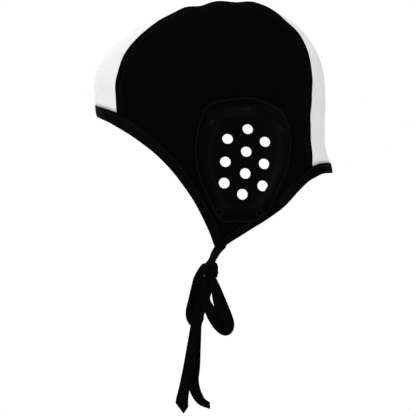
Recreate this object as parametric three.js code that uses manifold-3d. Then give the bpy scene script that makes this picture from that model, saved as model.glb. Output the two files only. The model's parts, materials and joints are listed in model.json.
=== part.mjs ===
import * as THREE from 'three';
import { mergeVertices } from 'three/addons/utils/BufferGeometryUtils.js';
import ManifoldModule from 'manifold-3d';

// Water polo cap: two side panels, a centre panel, bound rims, two vented ear guards
// and a flat tape tie knotted in a bow. +X is the wearer's left, -Y the face, +Z up.
// The origin is the inside of the crown, where the top of a head rests.

// Driving sizes in millimetres
const crownLength = 201;
const crownWidth = 154;
const capHeight = 213;
const clothThick = 1.2;
const clearance = 0.3;
const seamRise = 1.2;
const seamLipWidth = 3;
const bindingWidth = 9.2;
const bindingRise = 0.4;
const topSeamHalf = 39;
const guardWidth = 83;
const guardHeight = 107;
const guardDepth = 13;
const guardWall = 1.8;
const ventBore = 9.4;
const laceBore = 3.6;
const earOpeningWidth = 55;
const earOpeningHeight = 76;
const tapeWidth = 8.8;
const tapeThick = 1.2;
const tapeSpacing = 3.4;
const chinDrop = 20.6;
const knotWidth = 13.8;
const knotHeight = 12.6;
const knotDepth = 15;
const loopLength = 55;
const tailLength = 122;

// Shares and proportions of those sizes
const seamTaperShare = 0.125;
const bindingFoldShare = 0.12;
const mitreFoldShare = 0.3;
const domeWallLean = 1.4;
const guardSeatClearances = 1.5;
const knotSquareness = 3;
const knotPoles = 0.45;
const tieLiftShare = 1 / 6;
const tieDropShare = 1 / 4;

// Piece counts of the grids
const panelRings = 8;
const panelRingGrowth = 1.25;
const centreRows = 30;
const rimSubdivisions = 2;
const tapeSubdivisions = 2.5;
const guardSides = 40;
const boreSides = 12;
const knotSides = 12;
const knotRings = 7;

// Repeats of the searches for a place on the form, and the reach within which corners join
const bisections = 40;
const snapSteps = 8;
const weldReach = 1e-4;

const halfWidth = crownWidth / 2;
const fullTurn = Math.PI * 2;

// A place in the side view: along is the share of the crown length from the brow to the
// nape, down the share of the cap height below the top of the crown.
const sideY = (along) => (along - 0.5) * crownLength;
const sideZ = (down) => clothThick - down * capHeight;

// Hub that the crown is measured from: reach is the distance from it in the side view
const hubY = sideY(0.625);
const hubZ = sideZ(0.381);
const angleAt = (y, z) => Math.atan2(z - hubZ, y - hubY);

// Mid line of the crown seen from the side. Flat is the share of the half width that the
// cross-section stays flat for there, round the power of the curve beyond it: 2 is an
// ellipse, more has tighter shoulders.
const crestRows = [
  { name: 'brow rim', along: 0.015, down: 0.460, flat: 0, round: 2.1 },
  { name: 'brow', along: 0.005, down: 0.392, flat: 0, round: 2.1 },
  { name: 'forehead', along: 0.001, down: 0.311, flat: 0, round: 2.15 },
  { name: 'hairline', along: 0.035, down: 0.220, flat: 0, round: 2.2 },
  { name: 'fore crown low', along: 0.110, down: 0.146, flat: 0.06, round: 2.35 },
  { name: 'fore crown', along: 0.238, down: 0.070, flat: 0.26, round: 2.3 },
  { name: 'crown front', along: 0.400, down: 0.014, flat: 0.4, round: 2.3 },
  { name: 'top', along: 0.580, down: -0.006, flat: 0.43, round: 2.3 },
  { name: 'crown back', along: 0.739, down: 0.013, flat: 0.41, round: 2.3 },
  { name: 'hind crown', along: 0.859, down: 0.076, flat: 0.22, round: 2.3 },
  { name: 'back high', along: 0.945, down: 0.171, flat: 0.04, round: 2.25 },
  { name: 'back', along: 0.989, down: 0.278, flat: 0, round: 2 },
  { name: 'occiput', along: 0.999, down: 0.391, flat: 0, round: 1.8 },
  { name: 'nape hollow', along: 0.995, down: 0.514, flat: 0, round: 1.7 },
  { name: 'nape', along: 1.000, down: 0.597, flat: 0, round: 1.7 },
  { name: 'nape rim', along: 1.025, down: 0.686, flat: 0, round: 1.75 },
  { name: 'neck', along: 0.968, down: 0.78, flat: 0, round: 1.8 },
  { name: 'neck low', along: 0.898, down: 0.935, flat: 0, round: 2 },
  { name: 'throat back', along: 0.818, down: 1.095, flat: 0, round: 2.2 },
  { name: 'throat', along: 0.540, down: 1.151, flat: 0, round: 2.3 },
  { name: 'jaw', along: 0.313, down: 1.042, flat: 0, round: 2.3 },
  { name: 'cheek low', along: 0.165, down: 0.863, flat: 0, round: 2.2 },
  { name: 'cheek', along: 0.082, down: 0.677, flat: 0, round: 2.15 },
  { name: 'temple', along: 0.041, down: 0.539, flat: 0, round: 2.1 },
];

// Outer edge of the bound rims in the side view, from the mid line to the flap tip
const frontRimRows = [
  { name: 'brow centre', along: 0.015, down: 0.460, crest: true },
  { name: 'brow side', along: 0.052, down: 0.477 },
  { name: 'brow corner', along: 0.103, down: 0.503 },
  { name: 'temple', along: 0.177, down: 0.546 },
  { name: 'temple low', along: 0.246, down: 0.594 },
  { name: 'cheek high', along: 0.302, down: 0.643 },
  { name: 'cheek', along: 0.349, down: 0.692 },
  { name: 'cheek low', along: 0.388, down: 0.741 },
  { name: 'flap high', along: 0.424, down: 0.790 },
  { name: 'flap', along: 0.453, down: 0.838 },
  { name: 'flap low', along: 0.479, down: 0.887 },
  { name: 'near tip', along: 0.502, down: 0.936 },
  { name: 'tip', along: 0.519, down: 0.981 },
];
const backRimRows = [
  { name: 'nape centre', along: 1.024, down: 0.688, crest: true },
  { name: 'nape side', along: 0.985, down: 0.692 },
  { name: 'nape corner', along: 0.940, down: 0.713 },
  { name: 'neck high', along: 0.883, down: 0.760 },
  { name: 'neck', along: 0.831, down: 0.814 },
  { name: 'neck low', along: 0.769, down: 0.861 },
  { name: 'flap back', along: 0.688, down: 0.910 },
  { name: 'near tip', along: 0.607, down: 0.958 },
  { name: 'tip', along: 0.569, down: 0.981 },
];
const tipMiddle = { along: 0.544, down: 0.983 };

// Outline of an ear guard from its middle, as shares of half its width and height
const guardRows = [
  { name: 'top', back: -0.06, up: 1.0 },
  { name: 'top back', back: 0.19, up: 1.0 },
  { name: 'arch back', back: 0.46, up: 0.93 },
  { name: 'shoulder back', back: 0.83, up: 0.76 },
  { name: 'side high back', back: 0.94, up: 0.58 },
  { name: 'side back', back: 1.0, up: 0.3 },
  { name: 'widest back', back: 0.98, up: 0.08 },
  { name: 'side low back', back: 0.9, up: -0.21 },
  { name: 'taper back', back: 0.77, up: -0.42 },
  { name: 'taper low back', back: 0.6, up: -0.71 },
  { name: 'corner back', back: 0.4, up: -0.93 },
  { name: 'foot back', back: 0.15, up: -1.0 },
  { name: 'foot', back: -0.14, up: -1.0 },
  { name: 'corner front', back: -0.5, up: -0.965 },
  { name: 'taper low front', back: -0.61, up: -0.81 },
  { name: 'taper front', back: -0.755, up: -0.57 },
  { name: 'side low front', back: -0.95, up: -0.18 },
  { name: 'widest front', back: -1.0, up: 0.12 },
  { name: 'side front', back: -0.96, up: 0.42 },
  { name: 'side high front', back: -0.87, up: 0.69 },
  { name: 'shoulder front', back: -0.78, up: 0.84 },
  { name: 'arch front', back: -0.37, up: 0.97 },
];

// Dome of a guard: rise is the share of the guard depth at a share of the way out
const domeRows = [
  { name: 'edge', out: 1.0, rise: 0.0 },
  { name: 'flange', out: 0.87, rise: 0.02 },
  { name: 'foot of dome', out: 0.81, rise: 0.2 },
  { name: 'wall', out: 0.73, rise: 0.64 },
  { name: 'shoulder', out: 0.6, rise: 0.88 },
  { name: 'crown', out: 0.33, rise: 0.98 },
];

// Vents and lacing holes of a guard, as shares of half its width and height
const ventRows = [
  { name: 'middle 1', back: 0.10, up: 0.50 },
  { name: 'middle 2', back: 0.07, up: 0.136 },
  { name: 'middle 3', back: 0.05, up: -0.217 },
  { name: 'middle 4', back: -0.01, up: -0.555 },
  { name: 'front 1', back: -0.32, up: 0.343 },
  { name: 'front 2', back: -0.365, up: -0.028 },
  { name: 'front 3', back: -0.39, up: -0.372 },
  { name: 'back 1', back: 0.46, up: 0.295 },
  { name: 'back 2', back: 0.44, up: -0.062 },
  { name: 'back 3', back: 0.41, up: -0.418 },
];
const laceRows = [
  { name: 'front', back: -0.49, up: -0.84 },
  { name: 'back', back: 0.34, up: -0.85 },
];
const guardMiddle = { along: 0.642, down: 0.635 };

// Tapes of the bow from the foot of the knot, as shares of their length. Lane is their
// place across the bow, in steps of the tape spacing. Turn is how far the tape
// is rolled about its run, in quarter turns; wide is the share of its width left.
const frontLoopRows = [
  { name: 'knot out', back: -0.092, down: -0.19, lane: -1.95, turn: 0.1, wide: 0.35 },
  { name: 'beside the knot', back: -0.144, down: -0.085, lane: -1.95, turn: 0.1, wide: 0.73 },
  { name: 'outer high', back: -0.178, down: 0.035, lane: -1.95, turn: 0.05, wide: 1.08 },
  { name: 'outer', back: -0.219, down: 0.2, lane: -2, turn: 0, wide: 1.08 },
  { name: 'outer middle', back: -0.265, down: 0.38, lane: -2, turn: 0, wide: 1.02 },
  { name: 'outer low', back: -0.306, down: 0.55, lane: -2, turn: 0.1, wide: 1 },
  { name: 'bend low', back: -0.295, down: 0.68, lane: -2.1, turn: 0.4, wide: 1 },
  { name: 'bend', back: -0.233, down: 0.75, lane: -2.05, turn: 0.6, wide: 1 },
  { name: 'bend in', back: -0.173, down: 0.69, lane: -1.8, turn: 0.4, wide: 0.95 },
  { name: 'inner low', back: -0.163, down: 0.562, lane: -1.5, turn: 0.1, wide: 0.92 },
  { name: 'inner', back: -0.125, down: 0.382, lane: -1.35, turn: 0, wide: 0.97 },
  { name: 'inner high', back: -0.07, down: 0.212, lane: -1.3, turn: 0, wide: 0.9 },
  { name: 'under the knot', back: 0.02, down: 0.06, lane: -1.2, turn: 0.05, wide: 0.65 },
  { name: 'knot in', back: 0.025, down: 0, lane: -1.2, turn: 0, wide: 0.55 },
];
const backLoopRows = [
  { name: 'knot out', back: 0.04, down: 0, lane: 1.55, turn: 0, wide: 0.6 },
  { name: 'outer high', back: 0.05, down: 0.06, lane: 1.65, turn: 0.05, wide: 0.8 },
  { name: 'outer', back: 0.1, down: 0.212, lane: 1.9, turn: 0, wide: 1.04 },
  { name: 'outer middle', back: 0.153, down: 0.392, lane: 2, turn: 0, wide: 1.32 },
  { name: 'outer low', back: 0.231, down: 0.582, lane: 2.05, turn: 0, wide: 1.31 },
  { name: 'outer lowest', back: 0.297, down: 0.742, lane: 2.05, turn: 0.2, wide: 1.15 },
  { name: 'bend low', back: 0.293, down: 0.845, lane: 2, turn: 0.6, wide: 1.1 },
  { name: 'bend', back: 0.225, down: 0.865, lane: 1.75, turn: 0.6, wide: 1.1 },
  { name: 'bend in', back: 0.135, down: 0.75, lane: 1.45, turn: 0.15, wide: 1.26 },
  { name: 'inner low', back: 0.046, down: 0.6, lane: 1.35, turn: 0, wide: 1.26 },
  { name: 'inner', back: -0.056, down: 0.402, lane: 1.3, turn: 0, wide: 0.9 },
  { name: 'inner high', back: -0.078, down: 0.212, lane: 1.25, turn: 0, wide: 0.9 },
  { name: 'under the knot', back: -0.052, down: 0.06, lane: 1.1, turn: 0.05, wide: 0.65 },
  { name: 'knot in', back: -0.05, down: 0, lane: 1.1, turn: 0, wide: 0.55 },
];
const frontTailRows = [
  { name: 'knot', back: -0.018, down: 0, lane: 0.35, turn: 0, wide: 0.6 },
  { name: 'under the knot', back: -0.021, down: 0.03, lane: 0.38, turn: 0, wide: 0.75 },
  { name: 'behind the loops', back: -0.054, down: 0.137, lane: 0.45, turn: 0, wide: 1 },
  { name: 'loop ends', back: -0.096, down: 0.317, lane: 0.5, turn: 0, wide: 1.02 },
  { name: 'high', back: -0.122, down: 0.467, lane: 0.5, turn: 0, wide: 1.05 },
  { name: 'middle', back: -0.152, down: 0.637, lane: 0.5, turn: 0, wide: 1.05 },
  { name: 'low', back: -0.178, down: 0.767, lane: 0.5, turn: 0, wide: 1.06 },
  { name: 'near end', back: -0.196, down: 0.867, lane: 0.5, turn: 0, wide: 1.14 },
  { name: 'end', back: -0.203, down: 0.955, lane: 0.5, turn: 0, wide: 1.3 },
];
const backTailRows = [
  { name: 'knot', back: 0.004, down: 0, lane: -0.35, turn: 0, wide: 0.6 },
  { name: 'under the knot', back: 0.001, down: 0.03, lane: -0.38, turn: 0, wide: 0.75 },
  { name: 'behind the loops', back: -0.033, down: 0.137, lane: -0.45, turn: 0, wide: 1 },
  { name: 'loop ends', back: -0.09, down: 0.317, lane: -0.5, turn: 0, wide: 0.98 },
  { name: 'high', back: -0.1, down: 0.467, lane: -0.5, turn: 0, wide: 1 },
  { name: 'middle', back: -0.107, down: 0.637, lane: -0.5, turn: 0, wide: 1.02 },
  { name: 'low', back: -0.117, down: 0.727, lane: -0.5, turn: 0.1, wide: 1.06 },
  { name: 'curl', back: -0.105, down: 0.807, lane: -0.5, turn: 0.25, wide: 1.16 },
  { name: 'curled', back: -0.063, down: 0.878, lane: -0.5, turn: 0.4, wide: 1.1 },
  { name: 'end', back: 0.002, down: 0.916, lane: -0.5, turn: 0.5, wide: 0.78 },
];
// One tie from the flap tip to the knot, as shares of the way inward, down and forward
const tieRows = [
  { name: 'tip', inward: 0, down: 0, forward: 0, wide: 1.05 },
  { name: 'below the tip', inward: 0.2, down: 0.3, forward: 0.42, wide: 0.9 },
  { name: 'under the jaw', inward: 0.5, down: 0.62, forward: 0.74, wide: 0.75 },
  { name: 'under the chin', inward: 0.8, down: 0.87, forward: 1.04, wide: 0.95 },
  { name: 'knot', inward: 1, down: 1, forward: 1.3, wide: 1.15 },
];

const fabricBlack = { color: 0x0b0b0c, roughness: 0.85, metalness: 0 };
const fabricWhite = { color: 0xf2f2f0, roughness: 0.8, metalness: 0 };
const plasticBlack = { color: 0x09090a, roughness: 0.45, metalness: 0 };

// Smooth value of a column at an angle, in a ring of rows sorted by their angle
function columnAround(rows, column, angle) {
  const count = rows.length;
  const turns = Math.floor((angle - rows[0].angle) / fullTurn);
  const local = angle - turns * fullTurn;
  let index = count - 1;
  while (rows[index].angle > local) {
    index -= 1;
  }
  const row = (offset) => {
    const place = index + offset;
    const wrapped = ((place % count) + count) % count;
    return {
      angle: rows[wrapped].angle + fullTurn * Math.floor(place / count),
      value: rows[wrapped][column],
    };
  };
  const [before, start, end, after] = [row(-1), row(0), row(1), row(2)];
  const span = end.angle - start.angle;
  const share = (local - start.angle) / span;
  const startSlope = meanSlope(before, start, end) * span;
  const endSlope = meanSlope(start, end, after) * span;
  const rest = 1 - share;
  return rest * rest * ((1 + 2 * share) * start.value + share * startSlope)
    + share * share * ((3 - 2 * share) * end.value - rest * endSlope);
}

function meanSlope(before, here, after) {
  const spanBefore = here.angle - before.angle;
  const spanAfter = after.angle - here.angle;
  const slopeBefore = (here.value - before.value) / spanBefore;
  const slopeAfter = (after.value - here.value) / spanAfter;
  return (slopeBefore * spanAfter + slopeAfter * spanBefore) / (spanBefore + spanAfter);
}

function ringRows(rows, place) {
  return rows
    .map((row) => {
      const [y, z] = place(row);
      return { ...row, angle: Math.atan2(z, y), reach: Math.hypot(y, z) };
    })
    .sort((first, second) => first.angle - second.angle);
}

// Crown form: the cloth's outer face
const crest = ringRows(crestRows, (row) => [sideY(row.along) - hubY, sideZ(row.down) - hubZ]);
const crestReach = (angle) => columnAround(crest, 'reach', angle);

// Flat and round of the cross-section, which both settle to a plain ellipse at the hub
function sectionAt(angle, share) {
  const blendIn = share * share * (3 - 2 * share);
  return {
    flat: columnAround(crest, 'flat', angle) * blendIn,
    round: 2 + (columnAround(crest, 'round', angle) - 2) * blendIn,
  };
}

function formX(angle, share) {
  if (share >= 1) {
    return 0;
  }
  const { flat, round } = sectionAt(angle, share);
  return halfWidth * (flat + (1 - flat) * (1 - share ** round) ** (1 / round));
}

// Point of the form at a place of the side view, on the wearer's left
function formAtSide(y, z) {
  const angle = angleAt(y, z);
  return new THREE.Vector3(formX(angle, Math.hypot(y - hubY, z - hubZ) / crestReach(angle)), y, z);
}

// Point of the form at an angle round the hub and a distance from the mid plane
function formAtAngle(angle, x) {
  let low = 0;
  let high = 1;
  for (let step = 0; step < bisections; step += 1) {
    const middle = (low + high) / 2;
    if (formX(angle, middle) > Math.abs(x)) {
      low = middle;
    } else {
      high = middle;
    }
  }
  const reach = crestReach(angle) * high;
  return new THREE.Vector3(x, hubY + Math.cos(angle) * reach, hubZ + Math.sin(angle) * reach);
}

// Size of the form that passes through a point: 1 on the form, less inside it
function formLevel(point) {
  const angle = angleAt(point.y, point.z);
  const share = Math.hypot(point.y - hubY, point.z - hubZ) / crestReach(angle);
  const { flat, round } = sectionAt(angle, Math.min(share, 1));
  const out = Math.abs(point.x) / halfWidth;
  if (out <= flat * share) {
    return share;
  }
  let low = Math.max(share, out);
  let high = 2 * low;
  for (let step = 0; step < bisections; step += 1) {
    const level = (low + high) / 2;
    const reach = level * (flat + (1 - flat) * (1 - (share / level) ** round) ** (1 / round));
    if (reach < out) {
      low = level;
    } else {
      high = level;
    }
  }
  return high;
}

const hub = new THREE.Vector3(0, hubY, hubZ);

function snapToForm(point) {
  const snapped = point.clone();
  for (let step = 0; step < snapSteps; step += 1) {
    const level = formLevel(snapped);
    snapped.sub(hub).divideScalar(level).add(hub);
  }
  return snapped;
}

function formNormal(point) {
  const reachOut = 0.4;
  const slope = (axis) => {
    const ahead = point.clone();
    const behind = point.clone();
    ahead[axis] += reachOut;
    behind[axis] -= reachOut;
    return formLevel(ahead) - formLevel(behind);
  };
  return new THREE.Vector3(slope('x'), slope('y'), slope('z')).normalize();
}

const raised = (point, height) => point.clone().addScaledVector(formNormal(point), height);
const mirrored = (point) => new THREE.Vector3(-point.x, point.y, point.z);

// Closed solid from corner points and triangles, turned right side out
function solidGeometry(points, triangles) {
  let volume = 0;
  for (const [a, b, c] of triangles) {
    volume += points[a].dot(new THREE.Vector3().crossVectors(points[b], points[c]));
  }
  const index = triangles.flatMap(([a, b, c]) => (volume > 0 ? [a, b, c] : [a, c, b]));
  const geometry = new THREE.BufferGeometry();
  const corners = points.flatMap((point) => [point.x, point.y, point.z]);
  geometry.setAttribute('position', new THREE.Float32BufferAttribute(corners, 3));
  geometry.setIndex(index);
  return geometry.toNonIndexed();
}

// Solid through a row of closed sections, all with the same number of corners
function sweptSolid(sections, closed = false) {
  const corners = sections[0].length;
  const points = sections.flat();
  const triangles = [];
  const last = closed ? sections.length : sections.length - 1;
  for (let row = 0; row < last; row += 1) {
    const next = (row + 1) % sections.length;
    for (let corner = 0; corner < corners; corner += 1) {
      const beside = (corner + 1) % corners;
      const [a, b] = [row * corners + corner, row * corners + beside];
      const [c, d] = [next * corners + beside, next * corners + corner];
      triangles.push([a, b, c], [a, c, d]);
    }
  }
  if (!closed) {
    for (let corner = 1; corner < corners - 1; corner += 1) {
      const end = (sections.length - 1) * corners;
      triangles.push([0, corner + 1, corner], [end, end + corner, end + corner + 1]);
    }
  }
  return solidGeometry(points, triangles);
}

function mirroredGeometry(geometry) {
  const copy = geometry.clone();
  const corners = copy.getAttribute('position');
  for (let corner = 0; corner < corners.count; corner += 3) {
    const triangle = [0, 2, 1].map((offset) => new THREE.Vector3()
      .fromBufferAttribute(geometry.getAttribute('position'), corner + offset));
    triangle.forEach((point, offset) => corners.setXYZ(corner + offset, -point.x, point.y, point.z));
  }
  return copy;
}

// Rims. Each is a line of stations from one flap tip over the mid line to the other.
function rimStations(rows) {
  const oneSide = rows.map((row) => {
    const [y, z] = [sideY(row.along), sideZ(row.down)];
    return row.crest ? formAtAngle(angleAt(y, z), 0) : formAtSide(y, z);
  });
  const otherSide = oneSide.slice(1).reverse().map(mirrored);
  const curve = new THREE.CatmullRomCurve3([...otherSide, ...oneSide], false, 'centripetal');
  const steps = (rows.length - 1) * rimSubdivisions;
  const stations = [];
  for (let step = 0; step <= steps; step += 1) {
    const place = 0.5 + step / steps / 2;
    const outer = snapToForm(curve.getPoint(place));
    const run = curve.getTangent(place);
    const across = new THREE.Vector3().crossVectors(formNormal(outer), run).normalize();
    if (across.z < 0) {
      across.negate();
    }
    stations.push({ outer, across });
  }
  return stations;
}

function withInnerLine(stations, width) {
  return stations.map(({ outer, across }) => {
    const inner = snapToForm(outer.clone().addScaledVector(across, width));
    const edge = snapToForm(outer.clone().addScaledVector(across, width + clearance));
    return { outer, inner, edge };
  });
}

const frontRim = withInnerLine(rimStations(frontRimRows), bindingWidth);
const backRim = withInnerLine(rimStations(backRimRows), bindingWidth);

// The two inner lines meet above the flap tip, where the bindings are mitred
function lineCrossing(first, second) {
  for (let i = first.length - 2; i > 0; i -= 1) {
    for (let j = second.length - 2; j > 0; j -= 1) {
      const [a, b, c, d] = [first[i], first[i + 1], second[j], second[j + 1]];
      const cross = (b.y - a.y) * (d.z - c.z) - (b.z - a.z) * (d.y - c.y);
      const s = ((c.y - a.y) * (d.z - c.z) - (c.z - a.z) * (d.y - c.y)) / cross;
      const t = ((c.y - a.y) * (b.z - a.z) - (c.z - a.z) * (b.y - a.y)) / cross;
      if (s >= 0 && s <= 1 && t >= 0 && t <= 1) {
        return { first: i, second: j, point: a.clone().lerp(b, s) };
      }
    }
  }
  throw new Error('the rims do not meet at the flap tip');
}

// Stations past the meeting share out their inner points up to it, and a last one
// stands on the mitre in the middle of the tip
function mitred(rim, last, meeting) {
  const count = rim.length;
  const tip = formAtSide(sideY(tipMiddle.along), sideZ(tipMiddle.down));
  const stations = rim.map((station, index) => {
    if (index <= last) {
      return station;
    }
    const inner = rim[last].inner.clone().lerp(meeting, (index - last) / (count - last));
    return { ...station, inner: snapToForm(inner) };
  });
  const before = stations[count - 1];
  const step = (from, to) => from.clone().addScaledVector(to.clone().sub(from).normalize(), clearance);
  stations.push({ outer: step(tip, before.outer), inner: step(meeting, before.inner) });
  return stations;
}

const innerMeeting = lineCrossing(frontRim.map((s) => s.inner), backRim.map((s) => s.inner));
const edgeMeeting = lineCrossing(frontRim.map((s) => s.edge), backRim.map((s) => s.edge));
const frontStations = mitred(frontRim, innerMeeting.first, snapToForm(innerMeeting.point));
const backStations = mitred(backRim, innerMeeting.second, snapToForm(innerMeeting.point));

// Seam between a side panel and the centre panel, from the brow corner to the nape corner
const cornerIndex = 2 * rimSubdivisions;
const upperAngle = (point) => {
  const angle = angleAt(point.y, point.z);
  return angle < -fullTurn / 4 ? angle + fullTurn : angle;
};
const blend = (from, to, share) => from + (to - from) * share * share * (3 - 2 * share);

function seamHalf(share) {
  const browHalf = frontRim[cornerIndex].edge.x;
  const napeHalf = backRim[cornerIndex].edge.x;
  return share < 0.5
    ? blend(browHalf, topSeamHalf, share * 2)
    : blend(topSeamHalf, napeHalf, share * 2 - 1);
}

// Point of a lengthways line of the crown: column is its place from the mid line to the seam
function crownPoint(column, share, shift = 0) {
  const front = frontRim[column].edge;
  const back = backRim[column].edge;
  const angle = upperAngle(front) + (upperAngle(back) - upperAngle(front)) * share;
  const outFront = front.x / frontRim[cornerIndex].edge.x;
  const outBack = back.x / backRim[cornerIndex].edge.x;
  const out = outFront + (outBack - outFront) * share;
  return formAtAngle(angle, out * seamHalf(share) + shift);
}

function centrePanel() {
  const sections = [];
  for (let row = 0; row <= centreRows; row += 1) {
    const share = row / centreRows;
    const half = [];
    for (let column = 0; column <= cornerIndex; column += 1) {
      half.push(crownPoint(column, share, column === cornerIndex ? -clearance / 2 : 0));
    }
    const outside = [...half.slice(1).reverse().map(mirrored), ...half];
    const inside = outside.map((point) => raised(point, -clothThick)).reverse();
    sections.push([...outside, ...inside]);
  }
  return stripSolid(sections);
}

// Solid through sections made of an outer row and a matching inner row run back
function stripSolid(sections) {
  const corners = sections[0].length;
  const half = corners / 2;
  const end = (sections.length - 1) * corners;
  const triangles = [];
  for (let row = 0; row < sections.length - 1; row += 1) {
    for (let corner = 0; corner < corners; corner += 1) {
      const beside = (corner + 1) % corners;
      const [a, b] = [row * corners + corner, row * corners + beside];
      const [c, d] = [(row + 1) * corners + beside, (row + 1) * corners + corner];
      triangles.push([a, b, c], [a, c, d]);
    }
  }
  for (let corner = 0; corner < half - 1; corner += 1) {
    const [a, b] = [corner, corner + 1];
    const [c, d] = [corners - 2 - corner, corners - 1 - corner];
    triangles.push([a, c, b], [a, d, c]);
    triangles.push([end + a, end + b, end + c], [end + a, end + c, end + d]);
  }
  return solidGeometry(sections.flat(), triangles);
}

const guardY = sideY(guardMiddle.along);
const guardZ = sideZ(guardMiddle.down);

// Edge of a side panel, once round: front rim, flap tip, back rim, then the seam.
// Lip is the height of the raised seam there.
function sidePanelEdge() {
  const seamShift = clearance / 2;
  const edge = [];
  for (let index = cornerIndex + 1; index <= edgeMeeting.first; index += 1) {
    edge.push({ point: frontRim[index].edge, lip: 0 });
  }
  edge.push({ point: snapToForm(edgeMeeting.point), lip: 0 });
  for (let index = edgeMeeting.second; index > cornerIndex; index -= 1) {
    edge.push({ point: backRim[index].edge, lip: 0 });
  }
  for (let row = centreRows; row >= 0; row -= 1) {
    const share = row / centreRows;
    const taper = Math.min(1, share / seamTaperShare, (1 - share) / seamTaperShare);
    edge.push({ point: crownPoint(cornerIndex, share, seamShift), lip: seamRise * taper });
  }
  return edge;
}

function earOpening(angle) {
  const [halfY, halfZ] = [earOpeningWidth / 2, earOpeningHeight / 2];
  const reach = 1 / Math.hypot(Math.cos(angle) / halfY, Math.sin(angle) / halfZ);
  return formAtSide(guardY + Math.cos(angle) * reach, guardZ + Math.sin(angle) * reach);
}

function sidePanel() {
  const rows = sidePanelEdge().map(({ point, lip }) => {
    const start = earOpening(Math.atan2(point.z - guardZ, point.y - guardY));
    const lipStart = 1 - seamLipWidth / start.distanceTo(point);
    const row = [];
    for (let ring = 0; ring <= panelRings; ring += 1) {
      const share = (ring / (panelRings - 1)) ** panelRingGrowth * lipStart;
      const place = ring < panelRings ? snapToForm(start.clone().lerp(point, share)) : point;
      row.push(raised(place, ring < panelRings ? 0 : lip));
    }
    const under = row.slice(0, panelRings).map((place) => raised(place, -clothThick));
    under.push(raised(point, -clothThick));
    return [...row, ...under.reverse()];
  });
  return sweptSolid(rows, true);
}

// Folded tape along a rim: a nose at the outer edge and two walls that lie on the cloth
function binding(stations) {
  const oneSide = stations.map(({ outer, inner }) => {
    const fold = outer.distanceTo(inner) > bindingWidth / 2 ? bindingFoldShare : mitreFoldShare;
    const shoulder = outer.clone().lerp(inner, fold);
    return [
      raised(inner, bindingRise),
      raised(shoulder, bindingRise),
      raised(outer, -clothThick / 2),
      raised(shoulder, -clothThick - bindingRise),
      raised(inner, -clothThick - bindingRise),
    ];
  });
  const otherSide = oneSide.slice(1).reverse().map((section) => section.map(mirrored));
  return sweptSolid([...otherSide, ...oneSide]);
}

const { Manifold, Mesh: ManifoldMesh } = await (async () => {
  const module = await ManifoldModule();
  module.setup();
  return module;
})();

function toManifold(geometry) {
  const merged = mergeVertices(positionsOnly(geometry), weldReach);
  return new Manifold(new ManifoldMesh({
    numProp: 3,
    vertProperties: new Float32Array(merged.getAttribute('position').array),
    triVerts: new Uint32Array(merged.getIndex().array),
  }));
}

function positionsOnly(geometry) {
  const plain = new THREE.BufferGeometry();
  plain.setAttribute('position', geometry.getAttribute('position'));
  plain.setIndex(geometry.getIndex());
  return plain;
}

function fromManifold(solid) {
  const mesh = solid.getMesh();
  const geometry = new THREE.BufferGeometry();
  geometry.setAttribute('position', new THREE.Float32BufferAttribute(mesh.vertProperties, 3));
  geometry.setIndex(Array.from(mesh.triVerts));
  return geometry.toNonIndexed();
}

// Ear guard on the wearer's left: a flange, a dome and the bores cut through it
const guardOutline = ringRows(guardRows, (row) => [row.back * guardWidth / 2, row.up * guardHeight / 2]);
const guardSeat = bindingRise + clearance * guardSeatClearances;

function guardPoint(angle, out, height) {
  const reach = columnAround(guardOutline, 'reach', angle) * out;
  const [y, z] = [guardY + Math.cos(angle) * reach, guardZ + Math.sin(angle) * reach];
  const place = formAtSide(y, z);
  place.x += guardSeat + height;
  return place;
}

function earGuard() {
  const points = [];
  const triangles = [];
  const flangeEnd = 2;
  const wallInset = guardWall / guardWidth * domeWallLean;
  const outside = domeRows.map((row) => [row.out, guardWall + row.rise * guardDepth]);
  const inside = domeRows.map((row, index) => [
    index < flangeEnd ? row.out : row.out - wallInset,
    row.rise * guardDepth * (index < flangeEnd ? 0 : 1),
  ]);
  const rings = [...outside.reverse(), ...inside];
  for (let side = 0; side < guardSides; side += 1) {
    const angle = (side / guardSides) * fullTurn;
    rings.forEach(([out, height]) => points.push(guardPoint(angle, out, height)));
  }
  const rows = rings.length;
  const outerMiddle = points.push(guardPoint(0, 0, guardWall + guardDepth)) - 1;
  const innerMiddle = points.push(guardPoint(0, 0, guardDepth)) - 1;
  for (let side = 0; side < guardSides; side += 1) {
    const [here, next] = [side * rows, ((side + 1) % guardSides) * rows];
    for (let ring = 0; ring < rows - 1; ring += 1) {
      triangles.push([here + ring, next + ring, next + ring + 1]);
      triangles.push([here + ring, next + ring + 1, here + ring + 1]);
    }
    triangles.push([outerMiddle, next, here]);
    triangles.push([innerMiddle, here + rows - 1, next + rows - 1]);
  }
  let guard = toManifold(solidGeometry(points, triangles));
  const bores = [
    ...ventRows.map((row) => ({ ...row, bore: ventBore })),
    ...laceRows.map((row) => ({ ...row, bore: laceBore })),
  ];
  bores.forEach(({ back, up, bore }) => {
    const cutter = new THREE.CylinderGeometry(bore / 2, bore / 2, crownWidth, boreSides);
    cutter.rotateZ(Math.PI / 2);
    cutter.translate(halfWidth, guardY + back * guardWidth / 2, guardZ + up * guardHeight / 2);
    guard = guard.subtract(toManifold(cutter));
  });
  return fromManifold(guard);
}

// Tapes: flat solids along a curve, with a width direction and a share of the full width
function tape(stations) {
  return sweptSolid(stations.map(({ place, run, side, wide }) => {
    const across = side.clone().addScaledVector(run, -side.dot(run)).normalize();
    const through = new THREE.Vector3().crossVectors(run, across);
    const corner = (x, y) => place.clone()
      .addScaledVector(across, (x * wide * tapeWidth) / 2)
      .addScaledVector(through, (y * tapeThick) / 2);
    return [corner(-1, -1), corner(1, -1), corner(1, 1), corner(-1, 1)];
  }));
}

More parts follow.
